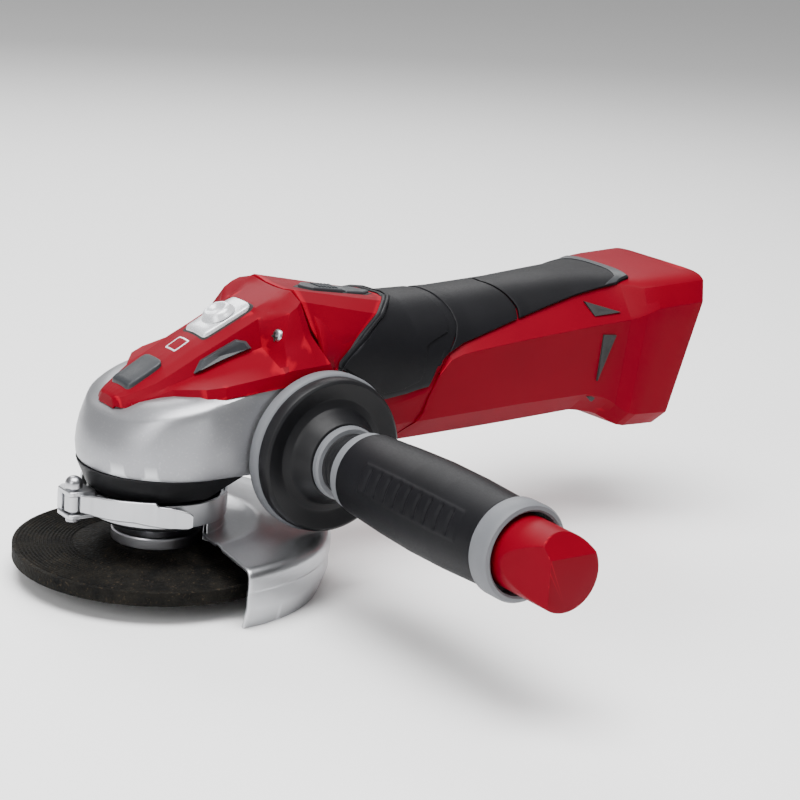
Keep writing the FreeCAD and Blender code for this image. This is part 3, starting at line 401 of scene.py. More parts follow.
# disc, nut and spindle nose

discLook = dict(radius=57.4, low=4.5, thick=6.0, step=2.8, bore=11.1, hubFlat=21.5, hubSlope=28,
                grooveFrom=33, grooveTo=56, grooves=15, grooveDepth=0.55, bushRadius=13.4,
                bushProud=0.25, bushSunk=0.3)
# inner flange, as radius and height
flangeProfile = [(7.1, 13.4), (18.2, 13.4), (18.2, 17.8), (17.6, 18.4), (7.1, 18.4), (7.1, 13.4)]


def makeDisc():
    # a flat ring with a raised hub; its upper face carries rings cos(phase) deep as radius grows
    look = discLook
    top, low, step, bore = look["low"] + look["thick"], look["low"], look["step"], look["bore"]
    radii = np.linspace(look["grooveFrom"], look["grooveTo"], look["grooves"] * 8)
    phase = (radii - look["grooveFrom"]) / (look["grooveTo"] - look["grooveFrom"])
    depth = look["grooveDepth"] * (0.5 - 0.5 * np.cos(2 * np.pi * look["grooves"] * phase))
    upper = [(bore, top + step), (look["hubFlat"], top + step), (look["hubSlope"], top)]
    upper += list(zip(radii, top - depth))
    outer = [(look["radius"], top - 0.3), (look["radius"], low + 0.4)]
    lower = list(zip(radii[::-1], low + 0.6 * depth[::-1]))
    inner = [(look["hubSlope"], low), (look["hubFlat"], low + step), (bore, low + step)]
    profile = upper + outer + lower + inner + upper[:1]
    disc = turned("grindingDisc", profile, (0, 0, 0), count=144)
    dressed(disc, "spindle_unit", "abrasiveGrain", "disc", smooth=60)
    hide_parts("grinding_disc")
    bush, sunk, proud = look["bushRadius"], top + step - look["bushSunk"], top + step + look["bushProud"]
    rim = turned("discBushRing", [(bore, sunk), (bore, proud), (bush - 0.2, proud), (bush, sunk),
                                  (bore, sunk)], (0, 0, 0))
    dressed(rim, "spindle_unit", *zincSheet, edge=0.1)


def makeInnerFlange():
    # the profile turned about the spindle
    flange = turned("innerFlange", flangeProfile, (0, 0, 0), count=128)
    dressed(flange, "spindle_unit", *steelPart, edge=0.35)
    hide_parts("inner_flange")


makeDisc()
makeInnerFlange()
print("disc made")


# guard, band and lever

guardLook = dict(radius=69.1, top=20.0, skirtLow=5.8, lipLow=-3.0, lipIn=3.5, wall=1.5,
                 plate=[(25.6, -0.1), (30, 0), (37.5, 0), (39.5, 0.9), (42.5, 0.9), (44.5, 0), (62, 0),
                        (64.6, 0)],
                 rimRound=2.5, swage=[(0, 14.2), (0, 13.4), (-0.5, 12.9), (-0.5, 6.6)],
                 edgeNear=9.0, edgeFar=1.5, neck=10,
                 collar=[(25.3, 25.8), (25.3, 33.8), (26.7, 33.8), (26.7, 25.8), (25.3, 25.8)],
                 root=[(25.3, 18.6), (25.3, 26.5), (26.7, 26.5), (26.7, 21.4), (28.6, 20.1), (28.6, 18.6),
                       (25.3, 18.6)], rootFrom=-72, rootSweep=144)


def makeGuard():
    # a plate profile from collar to lip is swept round the rear half; each ring of points
    # starts where a straight cut edge, leaning forward towards the rim, crosses its radius
    look = guardLook
    rad, top, lip = look["radius"], look["top"], look["radius"] - look["lipIn"]
    bend, arc = look["rimRound"], np.radians(np.linspace(90, 0, 7))
    profile = [(radius, top + rise) for radius, rise in look["plate"]]
    profile += [(rad - bend + bend * np.cos(a), top - bend + bend * np.sin(a)) for a in arc]
    profile += [(rad + out, height) for out, height in look["swage"]]
    profile += [(rad - 0.7, look["skirtLow"]), (lip, look["lipLow"] + 0.8),
                (lip - 0.4, look["lipLow"] + 0.15)]
    profile = np.array(profile)
    radius, height = profile[:, 0], profile[:, 1]
    cutX = np.interp(radius, [look["neck"], rad], [look["edgeNear"], look["edgeFar"]])
    begin = np.arcsin(np.clip(cutX / radius, -1, 1))
    share = np.linspace(0, 1, 121)[None, :]
    angles = -np.pi / 2 + begin[:, None] + share * (np.pi - 2 * begin[:, None])
    points = np.stack([radius[:, None] * np.cos(angles), radius[:, None] * np.sin(angles),
                       np.broadcast_to(height[:, None], angles.shape)], -1)
    bell = surfaceFrom("guardBell", points)
    dressed(bell, "guard_unit", *zincSheet, wall=look["wall"], edge=0.3)
    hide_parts("guard")
    collar = turned("guardCollar", look["collar"], (0, 0, 0), count=128)
    dressed(collar, "guard_unit", *zincSheet, edge=0.25)
    root = turned("guardRoot", look["root"], (0, 0, 0), start=look["rootFrom"],
                  sweep=look["rootSweep"])
    dressed(root, "guard_unit", *zincSheet, wall=0.6, edge=0.2)


def stripAround(name, radii, angles, lows, highs, thick):
    # a flat strip bent round the Z axis: at each angle a box section between low and high
    angles = np.radians(angles)
    radii, lows, highs = np.array(radii), np.array(lows), np.array(highs)
    section = [(0, 0), (1, 0), (1, 1), (0, 1)]
    rings = []
    for outward, upward in section:
        radius = radii + thick * (outward - 0.5)
        height = lows + (highs - lows) * upward
        rings.append(np.stack([radius * np.cos(angles), radius * np.sin(angles), height], -1))
    points = np.stack(rings, 1)
    return lofted(name, points)


bandLook = dict(radius=27.6, low=25.7, high=35.2, thick=1.2, angleFrom=184, angleTo=536,
                earThick=2.0, earWide=(-4.6, 8.6), earFront=[(-41.2, -3.4), (-39.8, -4.6)],
                earBack=[(-38.5, 8.6), (-41.2, 6.4)],
                # height of each ear and how far its root lies from the spindle
                ears=dict(Upper=(36.0, 30.8), Lower=(26.6, 27.4)),
                cheek=((-40.6, 4.6, 28.4), (-27.6, 8.2, 36.2)),
                knuckle=[(0, 0), (3.0, 0), (3.0, 7), (0, 7)], knucklePlace=(-33, 8.0, 31.6))


def makeBand():
    # a strip round the collar, with two flat ears for the hinge and a nut on a cheek
    look = bandLook
    angles = np.linspace(look["angleFrom"], look["angleTo"], 120)
    radius, low, high = (np.full(120, look[key]) for key in ("radius", "low", "high"))
    band = stripAround("guardBand", radius, angles, low, high, look["thick"])
    dressed(band, "guard_unit", *zincSheet, edge=0.3)
    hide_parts("guard_band")
    for label, (height, reach) in look["ears"].items():
        root = [(-reach, y) for y in look["earWide"]]
        outline = np.array(look["earFront"] + root + look["earBack"])
        layers = [atHeight(outline, height + lift) for lift in (0, look["earThick"])]
        ear = lofted("bandEar" + label, layers)
        dressed(ear, "guard_unit", *zincSheet, edge=0.35)
    cheek = blockOf("bandCheek", *look["cheek"])
    dressed(cheek, "guard_unit", *zincSheet, edge=0.5)
    knuckle = turned("bandKnuckle", look["knuckle"], look["knucklePlace"], "X")
    dressed(knuckle, "guard_unit", *steelPart, edge=0.6)


pinLook = dict(place=(-37.5, 0, 0), head=3.5, low=39.0, shoulder=40.6, dome=3.0,
               tail=[(0, 24.6), (2.6, 24.6), (3.0, 25.2), (3.0, 26.5), (1.6, 26.5), (1.6, 39),
                     (0, 39)])


def makeHingePin():
    # a domed head: radius falls as the quarter circle of its height
    look = pinLook
    wide, low, shoulder = look["head"], look["low"], look["shoulder"]
    head = [(0, low), (wide, low), (wide, shoulder)]
    head += [(wide * np.cos(a), shoulder + look["dome"] * np.sin(a))
             for a in np.radians(np.linspace(0, 90, 9))[1:]]
    pin = turned("hingePinHead", head, look["place"], count=48)
    dressed(pin, "guard_unit", *steelPart, smooth=50)
    tail = turned("hingePinTail", look["tail"], look["place"], count=48)
    dressed(tail, "guard_unit", *steelPart, edge=0.2)
    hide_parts("hinge_pin")


# values along the arm are pairs of its length's share and the value there
leverLook = dict(angleFrom=187, angleTo=265, thick=2.0,
                 radii=[(0, 36.4), (0.1, 34.4), (0.5, 32.6), (0.85, 32.8), (1, 34.2)],
                 highs=[(0, 36.6), (0.15, 37.6), (0.68, 38.2), (0.7, 36.8), (0.82, 36.2),
                        (0.96, 34.4), (1, 33.0)],
                 lows=[(0, 29.6), (0.15, 29.2), (0.5, 29.4), (0.8, 27.6), (0.96, 27.4), (1, 28.4)],
                 hub=[(1.75, 29.4), (3.5, 29.4), (3.5, 36.9), (1.75, 36.9), (1.75, 29.4)])


def makeLever():
    # a strip along an arc about the spindle that starts at the hinge and flares at its tip
    look = leverLook
    share = np.linspace(0, 1, 60)
    angles = look["angleFrom"] + share * (look["angleTo"] - look["angleFrom"])
    radii, highs, lows = (tableAt(look[key], share)[0] for key in ("radii", "highs", "lows"))
    arm = stripAround("clampLeverArm", radii, angles, lows, highs, look["thick"])
    dressed(arm, "lever", *zincSheet, edge=0.45)
    hub = turned("clampLeverHub", look["hub"], pinLook["place"], count=48)
    dressed(hub, "lever", *zincSheet, edge=0.3)
    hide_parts("clamp_lever")


makeGuard()
makeBand()
makeHingePin()
makeLever()
print("guard and lever made")


# gear head

headLook = dict(rear=57.5, centre=4.2, bottom=46.8,
                # height of the upper edge along X
                edge=[(-28, 69.0), (-23, 69.5), (-16, 71.6), (-8, 73.6), (2, 76.0), (16, 79.3),
                      (32, 81.6), (52, 82.6)],
                # share of the way up to the edge, half width and reach of the front
                walls=[(0, 35, 31.6), (0.015, 35.8, 32.2), (0.08, 36.6, 32.8), (0.28, 37.1, 33.2),
                       (0.5, 37.2, 32.6), (0.7, 37.1, 31.4), (0.86, 36.9, 29.8), (0.96, 36.6, 28.6),
                       (1, 36.2, 28)],
                # rise above the edge, half width and reach of the front
                shelf=[(0.9, 35.2, 26.4), (2.2, 33.2, 23.6), (3.4, 29.5, 19.5), (3.8, 24, 13)])


def horseshoe(half, front, rear, centre, count=96, straight=20):
    # straight sides at +-half from the rear, joined by half an ellipse round the front
    bend = np.radians(np.linspace(-90, -270, count))
    along = np.linspace(rear, centre, straight, endpoint=False)
    left = np.stack([along, np.full(straight, -half)], -1)
    nose = np.stack([centre + (centre + front) * np.cos(bend), half * np.sin(bend)], -1)
    right = np.stack([along[::-1], np.full(straight, half)], -1)
    return np.concatenate([left, nose, right])


def makeGearHead():
    # walls that lean in up to a sloping edge, then a bevelled shelf under the red cover
    look = headLook
    layers = []
    rows = [(share, 0, half, front) for share, half, front in look["walls"]]
    rows += [(1, rise, half, front) for rise, half, front in look["shelf"]]
    for share, rise, half, front in rows:
        outline = horseshoe(half, front, look["rear"], look["centre"])
        edge = tableAt(look["edge"], outline[:, 0])[0]
        layers.append(atHeight(outline, look["bottom"] + share * (edge - look["bottom"]) + rise))
    case = lofted("gearHeadCase", layers)
    dressed(case, "housing", *silverCast, edge=0.5, smooth=30)
    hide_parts("gear_case")


# height, half width, reach of the front and of the rear
collarLook = dict(layers=[(36.9, 28.6, 28.6, 6), (37.4, 29.0, 29.0, 7), (41, 30.6, 30.6, 12),
                          (45.6, 33.0, 32.6, 19), (46.8, 33.4, 33.0, 20)],
                  neck=[(9.2, 27.2), (19.4, 27.2), (19.4, 23.4), (24.6, 23.4), (25, 23.8), (25, 37),
                        (9.2, 37), (9.2, 27.2)])


def makeBearingCover():
    # a black collar that widens upwards, over the round neck that the guard turns on
    layers = [atHeight(horseshoe(half, front, rear, 0), height)
              for height, half, front, rear in collarLook["layers"]]
    plate = lofted("bearingCoverPlate", layers)
    dressed(plate, "housing", *blackCast, edge=0.4)
    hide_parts("bearing_cover")
    neck = turned("bearingCoverNeck", collarLook["neck"], (0, 0, 0), count=128)
    dressed(neck, "housing", *blackCast, edge=0.25)


sunkLook = dict(radius=3.4, bodyX=(191, 212), bodyZ=(61, 97), bodyY=12, bodyTall=2.4,
                coverX=(-12, 30), coverY=26, coverZ=48.5, coverTall=2.6)


def sunkHead(name, place, axis, tall):
    # a plain disc at the bottom of a screw's sink
    radius = sunkLook["radius"]
    head = turned(name, [(0.01, 0), (radius, 0), (radius, tall), (0.01, tall)], place, axis, count=32)
    return dressed(head, "housing", *screwHead, edge=0.3)


def makeSunkScrews():
    # two rows of heads in the housing and two pairs in the bearing cover
    look = sunkLook
    for side in (-1, 1):
        for x in look["bodyX"]:
            for z in look["bodyZ"]:
                head = sunkHead(f"housingScrewHead{x}{z}{side + 1}", (x, side * look["bodyY"], z),
                                "-Y", look["bodyTall"])
    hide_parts("housing_screws")
    for x in look["coverX"]:
        for side in (-1, 1):
            cap = sunkHead(f"bearingScrewHead{x + 12}{side + 1}",
                           (x, side * look["coverY"], look["coverZ"]), "Z", look["coverTall"])
    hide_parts("bearing_cover_screws")


makeGearHead()
makeBearingCover()
makeSunkScrews()
print("gear head made")


# red head cover

coverLook = dict(
    # along X: half width and height of five edge lines, from the crown down to the skirt
    stations=[
        (-24.4, 0, 75.4, 4.0, 74.9, 5.0, 74.1, 5.8, 73.2, 6.4, 72.2),
        (-23.3, 0, 76.3, 6.8, 75.5, 7.9, 74.5, 8.6, 73.5, 9.2, 72.2),
        (-21.0, 0, 77.8, 8.6, 76.4, 10.0, 75.0, 10.8, 73.8, 11.4, 72.2),
        (-10.0, 0, 83.6, 13.2, 81.7, 15.2, 78.8, 16.4, 77.6, 17.6, 75.0),
        (-6.0, 0, 85.9, 14.0, 84.0, 16.0, 80.8, 19.0, 80.0, 21.0, 76.4),
        (-2.0, 0, 88.3, 14.2, 86.1, 16.6, 82.0, 24.6, 81.2, 26.6, 77.2),
        (2.5, 0, 90.9, 14.3, 88.4, 17.0, 83.6, 30.4, 82.2, 32.2, 78.0),
        (9.0, 0, 94.6, 14.4, 91.9, 17.5, 85.7, 33.8, 83.4, 35.2, 79.0),
        (20.0, 0, 100.0, 14.6, 97.3, 18.0, 89.6, 35.8, 85.4, 36.9, 80.4),
        (34.0, 0, 106.9, 15.0, 104.4, 18.8, 93.6, 36.8, 87.4, 37.6, 81.8)],
    pillarStations=[
        (35.6, 0, 107.8, 15.2, 107.0, 25.2, 108.0, 30.4, 97.0, 36.9, 88.0, 37.6, 82.0),
        (46.0, 0, 112.2, 15.2, 112.4, 25.0, 110.4, 30.2, 99.2, 36.9, 88.8, 37.6, 82.5),
        (49.0, 0, 113.4, 14.8, 114.6, 23.6, 112.0, 28.8, 99.6, 36.6, 89.2, 37.5, 82.8)],
    # how far the corners of the first pillar line and of the seam stand behind their station
    pillarLean=[0, 3.4, 6.2, 1.6, 0.4, 0],
    seamLean=[0, -0.4, -1.2, 1.4, 6.4, 9.0],
    # the crown between its middle and its edge: share of the half width, share of the drop
    crown=[(0, 0), (0.28, 0.07), (0.65, 0.4), (1, 1)],
    noseLow=71.4, noseBack=0.4, noseNarrow=0.94, wall=1.2)


def coverGrid():
    # each station gives corner points; the spine's missing shoulder sits just under its edge
    look = coverLook
    rows = []
    for x, *rest in look["stations"]:
        pairs = np.array(rest).reshape(-1, 2)
        shoulder = pairs[1] * 0.8 + pairs[2] * 0.2
        pairs = np.insert(pairs, 2, shoulder, axis=0)
        rows.append((np.full(6, x), pairs))
    for index, (x, *rest) in enumerate(look["pillarStations"]):
        lean = np.array(look["seamLean"]) * (index / 2.0) if index else np.array(look["pillarLean"])
        rows.append((x + lean, np.array(rest).reshape(-1, 2)))
    return rows


def makeHeadCover():
    # lines across the cover through its corner points, then straight runs between the lines
    look = coverLook
    lines = []
    for xs, pairs in coverGrid():
        half = np.column_stack([xs, -pairs[:, 0], pairs[:, 1]])
        middle, side = half[0], half[1]
        crown = [(middle[0], wide * side[1], middle[2] * (1 - drop) + side[2] * drop)
                 for wide, drop in look["crown"][1:3]]
        half = np.concatenate([half[:1], crown, half[1:]])
        lines.append(mirrored(half[::-1]))
    # a wall closes the front: the first line drops to the shelf of the gear head
    nose = lines[0] * np.array([1, look["noseNarrow"], 0]) + np.array([-look["noseBack"], 0,
                                                                       look["noseLow"]])
    grid = np.stack([lineThrough(line, 5) for line in [nose] + lines])
    grid = np.stack([lineThrough(grid[:, column], 5) for column in range(grid.shape[1])], 1)
    return surfaceFrom("headCover", grid)


cover = makeHeadCover()
upwardFaces(cover)
dressed(cover, "housing", *redShell, wall=coverLook["wall"], edge=0.3, segments=3, angle=15,
        smooth=24)
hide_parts("head_cover")


def crownHeight(x, y):
    # height of the sloping top face above the crown's edge lines
    stations = [(row[0], row[2], row[4], row[3])
                for row in coverLook["stations"] + coverLook["pillarStations"]]
    middle, side, half = tableAt(stations, x)
    return middle + (side - middle) * tableAt(coverLook["crown"], np.abs(y) / half)[0]


def roundedPatch(x0, x1, half, corner, count=40):
    # a rounded rectangle in X and Y as rings that shrink to its middle
    angles = np.radians(np.arange(0, 360, 360 / (4 * count)))
    power = 2 + 10 * (1 - corner)
    across, up = squared(np.cos(angles), power), squared(np.sin(angles), power)
    return (x0 + x1) / 2 + (x1 - x0) / 2 * across, half * up


def coverPad(name, x0, x1, half, corner, proud, sunk, material, slot, body="housing"):
    # a plate that follows the crown: rings from its sunk rim over a rounded edge to its middle
    x, y = roundedPatch(x0, x1, half, corner)
    middleX = (x0 + x1) / 2
    rings = []
    for scale, lift in ((1, -sunk), (1, proud * 0.55), (0.975, proud * 0.85), (0.93, proud),
                        (0.7, proud), (0.45, proud), (0.2, proud), (0.02, proud)):
        px, py = middleX + (x - middleX) * scale, y * scale
        rings.append(np.stack([px, py, crownHeight(px, py) + lift], -1))
    piece = lofted(name, rings)
    return dressed(piece, body, material, slot, smooth=30)


frontPad = coverPad("frontPad", -19.2, -3.8, 7.2, 0.42, 1.9, 1.5, *slateGrip)
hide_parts("cover_pad_front")


sidePadLook = dict(outline=[(4.6, 17.4, 85.3), (8, 16.0, 89.8), (16, 16.1, 93.6), (23.6, 16.3, 97.0),
                            (27.6, 17.2, 96.2), (29.4, 18.5, 93.6), (16, 17.9, 89.4),
                            (6, 17.7, 85.6)],
                   sunk=1.6, proud=0.9, rise=0.5, slope=0.86)


def makeSidePads():
    # a dark wedge set into each side of the spine, over the shelf
    look = sidePadLook
    for side, label in sides:
        outer = np.array(look["outline"]) * np.array([1, side, 1])
        inner = outer - np.array([0, side * look["sunk"], 0])
        raised = shrunk(outer, look["slope"]) + np.array([0, side * look["proud"], look["rise"]])
        middle = outer.mean(0)
        layers = [inner, outer, raised, middle + (raised - middle) * 0.05]
        pad = lofted("sidePad" + label, layers)
        dressed(pad, "housing", *slateGrip, edge=0.3)


coverScrewLook = dict(x=36.3, y=24.2, z=99.0, radius=3.0, dome=1.7, low=2.6, rim=1.6, crossLong=1.9,
                      crossWide=0.35)


def makeCoverScrews():
    # a domed head with a cross recess, filled with black blocks of painted shade, on the front face of
    # each pillar
    look = coverScrewLook
    radius, rim, dome = look["radius"], look["rim"], look["dome"]
    long, wide = look["crossLong"], look["crossWide"]
    profile = [(0, look["low"]), (radius, look["low"]), (radius, rim)]
    profile += [(radius * np.cos(a), rim - dome * np.sin(a))
                for a in np.radians(np.linspace(0, 80, 7))[1:]] + [(0, rim - dome)]
    for side, label in sides:
        spot = np.array([look["x"], side * look["y"], look["z"]])
        head = turned("coverScrewHead" + label, profile, spot, "X", count=32)
        dressed(head, "housing", *steelPart, smooth=45)
        for turn, (y, z) in enumerate(((wide, long), (long, wide))):
            # black blocks of painted shade standing for the cross recess
            cross = blockOf(f"coverScrewCrossShade{label}{turn}", spot - (0.25, y, z), spot + (0.5, y, z))
            dressed(cross, "housing", "ferriteAndShadeBlack", "steel")
    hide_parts("head_cover_screws")


makeSidePads()
makeCoverScrews()


# dome is radius and height: its rim rises and its middle is dished
lockLook = dict(front=13.4, rear=35.6, half=8.8, buttonHalf=7.8, domeX=24.4, domeRise=1.5,
                slope=math.atan2(7.4, 15),
                dome=[(7.2, 0), (7.0, 0.5), (6.4, 1.0), (5.9, 2.0), (5.2, 2.7), (4.4, 3.0),
                      (3.7, 2.7), (2.6, 1.9), (1.2, 1.6), (0.01, 1.5)])


def makeLockButton():
    # a dark sheet of painted shade in the bezel round the button, a plate that follows the crown and a
    # round dome tilted to its slope
    look = lockLook
    # a thin black sheet standing for the shade in the gap round the button
    coverPad("lockBezelShadow", look["front"] - 0.7, look["rear"] + 0.7, look["half"] + 0.2, 0.25,
             0.08, 1.2, *paintedShadeBlack)
    plate = coverPad("lockButtonPlate", look["front"] + 0.2, look["rear"] - 0.6,
                     look["buttonHalf"], 0.3, 1.7, 0.6, *whiteKey, "spindle_lock")
    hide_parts("lock_button")
    dome = turned("lockButtonDome", look["dome"], (0, 0, 0), count=64)
    height = crownHeight(look["domeX"], 0.0) + look["domeRise"]
    place = Matrix.Translation((look["domeX"] * mm, 0, height * mm))
    dome.data.transform(place @ Matrix.Rotation(-look["slope"], 4, "Y"))
    dressed(dome, "spindle_lock", *whiteKey, smooth=50)


makeLockButton()


badgeLook = dict(x=6.2, halves=(3.4, 2.8), finishes=("whiteNylon", "redNylon"))


def makeBadge():
    # a plain square badge frame between the pad and the button, with no mark in it
    look = badgeLook
    for index, (half, finish) in enumerate(zip(look["halves"], look["finishes"])):
        coverPad(f"squareBadge{index}", look["x"] - half, look["x"] + half, half * 1.15, 0.1,
                 0.12 + 0.08 * index, 0.5, finish, "red_plastic")


makeBadge()
print("head cover made")


# body: one rounded section along X, with creased sides from the seam to the battery foot
bodyLook = dict(
    centre=79.0,
    # x, half width, top, bottom, roundness
    stations=[(52, 35.5, 113.6, 47.4, 2.6), (64, 32, 111.4, 47.5, 2.5), (85, 30, 108.2, 47.6, 2.3),
              (104, 29.3, 106.0, 47.8, 2.1), (133, 29.3, 106.0, 48.0, 2.1),
              (165, 29.5, 107.6, 48.6, 2.2), (190, 30.5, 109.2, 50.4, 2.5),
              (205, 31.6, 109.6, 49.6, 2.9), (216, 32.8, 109.9, 46.6, 3.6),
              (223, 35.0, 110.2, 43.8, 5.0), (232, 36.8, 110.8, 42.6, 6.0),
              (257, 37, 111.6, 42.2, 7.0)],
    # x, then half width and height of the belly edge, lower crease and upper crease
    creases=[(54, 17, 45.2, 29.0, 56.0, 32.6, 68.0), (62, 17.5, 45.5, 27.6, 56.0, 30.0, 67.0),
             (85, 18, 46.0, 27.0, 56.4, 28.4, 65.0), (98, 17.6, 46.4, 27.2, 57.0, 28.8, 67.0),
             (111.6, 17.2, 46.8, 27.4, 57.4, 29.0, 71.0), (112, 17.2, 46.8, 28.4, 57.6, 29.9, 77.0),
             (118, 17.2, 47.0, 28.5, 57.8, 30.2, 83.0), (125, 17.3, 47.3, 28.6, 58.2, 30.6, 85.4),
             (140, 17.4, 47.9, 28.8, 58.8, 31.2, 87.0), (160, 17.6, 48.6, 28.9, 59.6, 31.6, 89.0),
             (196, 19, 50.6, 29.6, 60.4, 32.2, 92.0), (210, 22, 48.6, 30.6, 57.0, 33.0, 93.0),
             (218, 26, 46.0, 32.0, 53.8, 33.6, 93.6), (222, 29, 44.6, 35.6, 51.4, 35.6, 95.0),
             (228, 30.2, 43.8, 36.8, 50.6, 36.8, 98.0), (257, 30.5, 43.4, 37.0, 50.0, 37.0, 99.5)],
    # lower edge of the soft grip: x and z
    gripLow=[(62.6, 86.0), (73, 78.4), (87.5, 69.4), (99, 70.6), (110, 72.6), (113.5, 80.8),
             (118, 84.8), (127.5, 89.0), (165, 97.6), (193, 103.6), (222, 108.6)],
    # the split between the front and rear shells: x and z
    seam=[(99.5, 49), (108.5, 60.8), (110.5, 67.7), (120.0, 87.4), (122.0, 100), (123.0, 120)],
    seamGap=0.25,
    frontRows=[54, 58, 62, 68, 76, 85, 92, 96, 100, 104, 108, 111.6],
    rearRows=[112, 118, 124, 130, 136, 142, 150, 160, 170, 180, 188, 196, 201, 206, 211, 216, 220,
              224, 230, 236, 243, 250, 256.4],
    lean=math.tan(math.radians(17.5)), leanFrom=205, leanTo=250, leanZ=110)


def bodySection(x):
    # half width, top, bottom and roundness at one place along X
    return tableAt(bodyLook["stations"], x)


def bodyPoint(x, angle, proud=0.0):
    # a place on the rounded section; angle runs from -90 at the belly to 90 at the top
    half, top, bottom, power = bodySection(x)
    centre = bodyLook["centre"]
    c, s = np.cos(np.radians(angle)), np.sin(np.radians(angle))
    height = np.where(s > 0, top - centre, centre - bottom) + proud
    across = (half + proud) * np.abs(c) ** (2 / power)
    up = height * squared(s, power)
    return np.stack([np.broadcast_to(x, across.shape), -across, centre + up], -1)


def angleAt(x, z):
    # the section angle at a height
    half, top, bottom, power = bodySection(x)
    centre = bodyLook["centre"]
    height = np.where(z > centre, top - centre, centre - bottom)
    share = np.clip((z - centre) / height, -1, 1)
    return np.degrees(np.arcsin(np.sign(share) * np.abs(share) ** (power / 2)))


def leaned(points):
    # the rear end is sheared along X in step with height, eased in between two places
    look = bodyLook
    ease = np.clip((points[..., 0] - look["leanFrom"]) / (look["leanTo"] - look["leanFrom"]), 0, 1)
    points = points.copy()
    points[..., 0] += ease * look["lean"] * (points[..., 2] - look["leanZ"])
    return points


def bodyHalfRow(x):
    # belly middle, three crease corners, then the rounded top to the middle plane
    values = tableAt(bodyLook["creases"], x)
    turn = angleAt(x, tableAt(bodyLook["gripLow"], x)[0] + 0.6)
    turn = np.minimum(turn, 78) if x < 212 else np.interp(x, (212, 224), (min(turn, 78), 46))
    arc = bodyPoint(x, np.linspace(turn, 90, 14), -0.5)
    corners = [(x, 0, bodySection(x)[2])] + [(x, -values[i], values[i + 1]) for i in (0, 2, 4)]
    low = [lineLength(corners[i:i + 2], 7)[:-1] for i in range(3)]
    low.append(lineLength([corners[3], arc[0]], 9)[:-1])
    return np.concatenate(low + [arc])


def bodySheet(name, stations, seam, seamRow):
    # the row at the seam leans along it, and the lean fades over the next rows
    rows = np.stack([bodyHalfRow(x) for x in stations])
    x, z = np.array(seam).T
    shift = np.interp(rows[seamRow][:, 2], z, x) - stations[seamRow]
    for step in range(5):
        row = step if seamRow == 0 else seamRow - step
        rows[row][:, 0] += shift * (1 - step / 5)
    piece = surfaceFrom(name, leaned(mirrored(rows)))
    upwardFaces(piece, bodyLook["centre"] * mm)
    return piece


def makeRedBody():
    # a front shell with a narrow gap at the seam, and the rear shell with the battery foot
    look = bodyLook
    front = bodySheet("housingFront", look["frontRows"],
                      [(x - look["seamGap"], z) for x, z in look["seam"]], -1)
    dressed(front, "housing", *redShell, wall=2.0, edge=0.35, angle=24)
    rear = bodySheet("housingRear", look["rearRows"], look["seam"], 0)
    dressed(rear, "housing", *redShell, wall=2.4, edge=0.5, segments=3, angle=14)
    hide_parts("housing_left", "housing_right")


def coons(front, rear, low, high, rows, columns):
    # fills four edge lines given in section x and angle; rows run front to rear
    f, r = lineLength(front, columns), lineLength(rear, columns)
    a, b = lineLength(low, rows), lineLength(high, rows)
    u = np.linspace(0, 1, rows)[:, None, None]
    v = np.linspace(0, 1, columns)[None, :, None]
    edges = (1 - u) * f[None] + u * r[None] + (1 - v) * a[:, None] + v * b[:, None]
    corners = ((1 - u) * (1 - v) * f[0] + (1 - u) * v * f[-1] + u * (1 - v) * r[0]
               + u * v * r[-1])
    return edges - corners


def bodyPanel(name, front, rear, low, proud, finish, wall=1.2, rows=40, columns=30, fade=0.0):
    # edge lines are in x and z on the left side; the panel crosses the top to the right side
    def turnedInto(line):
        line = np.array(line, float)
        return np.column_stack([line[:, 0], angleAt(line[:, 0], line[:, 1])])
    front, rear, low = turnedInto(front), turnedInto(rear), turnedInto(low)
    front[-1, 1] = rear[-1, 1] = 90
    grid = coons(front, rear, low, [front[-1], rear[-1]], rows, columns)
    lift = proud - fade * np.linspace(0, 1, rows)[:, None] ** 3
    half = bodyPoint(grid[..., 0], grid[..., 1], np.broadcast_to(lift, grid.shape[:2]))
    piece = surfaceFrom(name, leaned(mirrored(half)))
    upwardFaces(piece)
    return dressed(piece, "housing", *finish, wall=wall, edge=0.45, segments=3, angle=40)


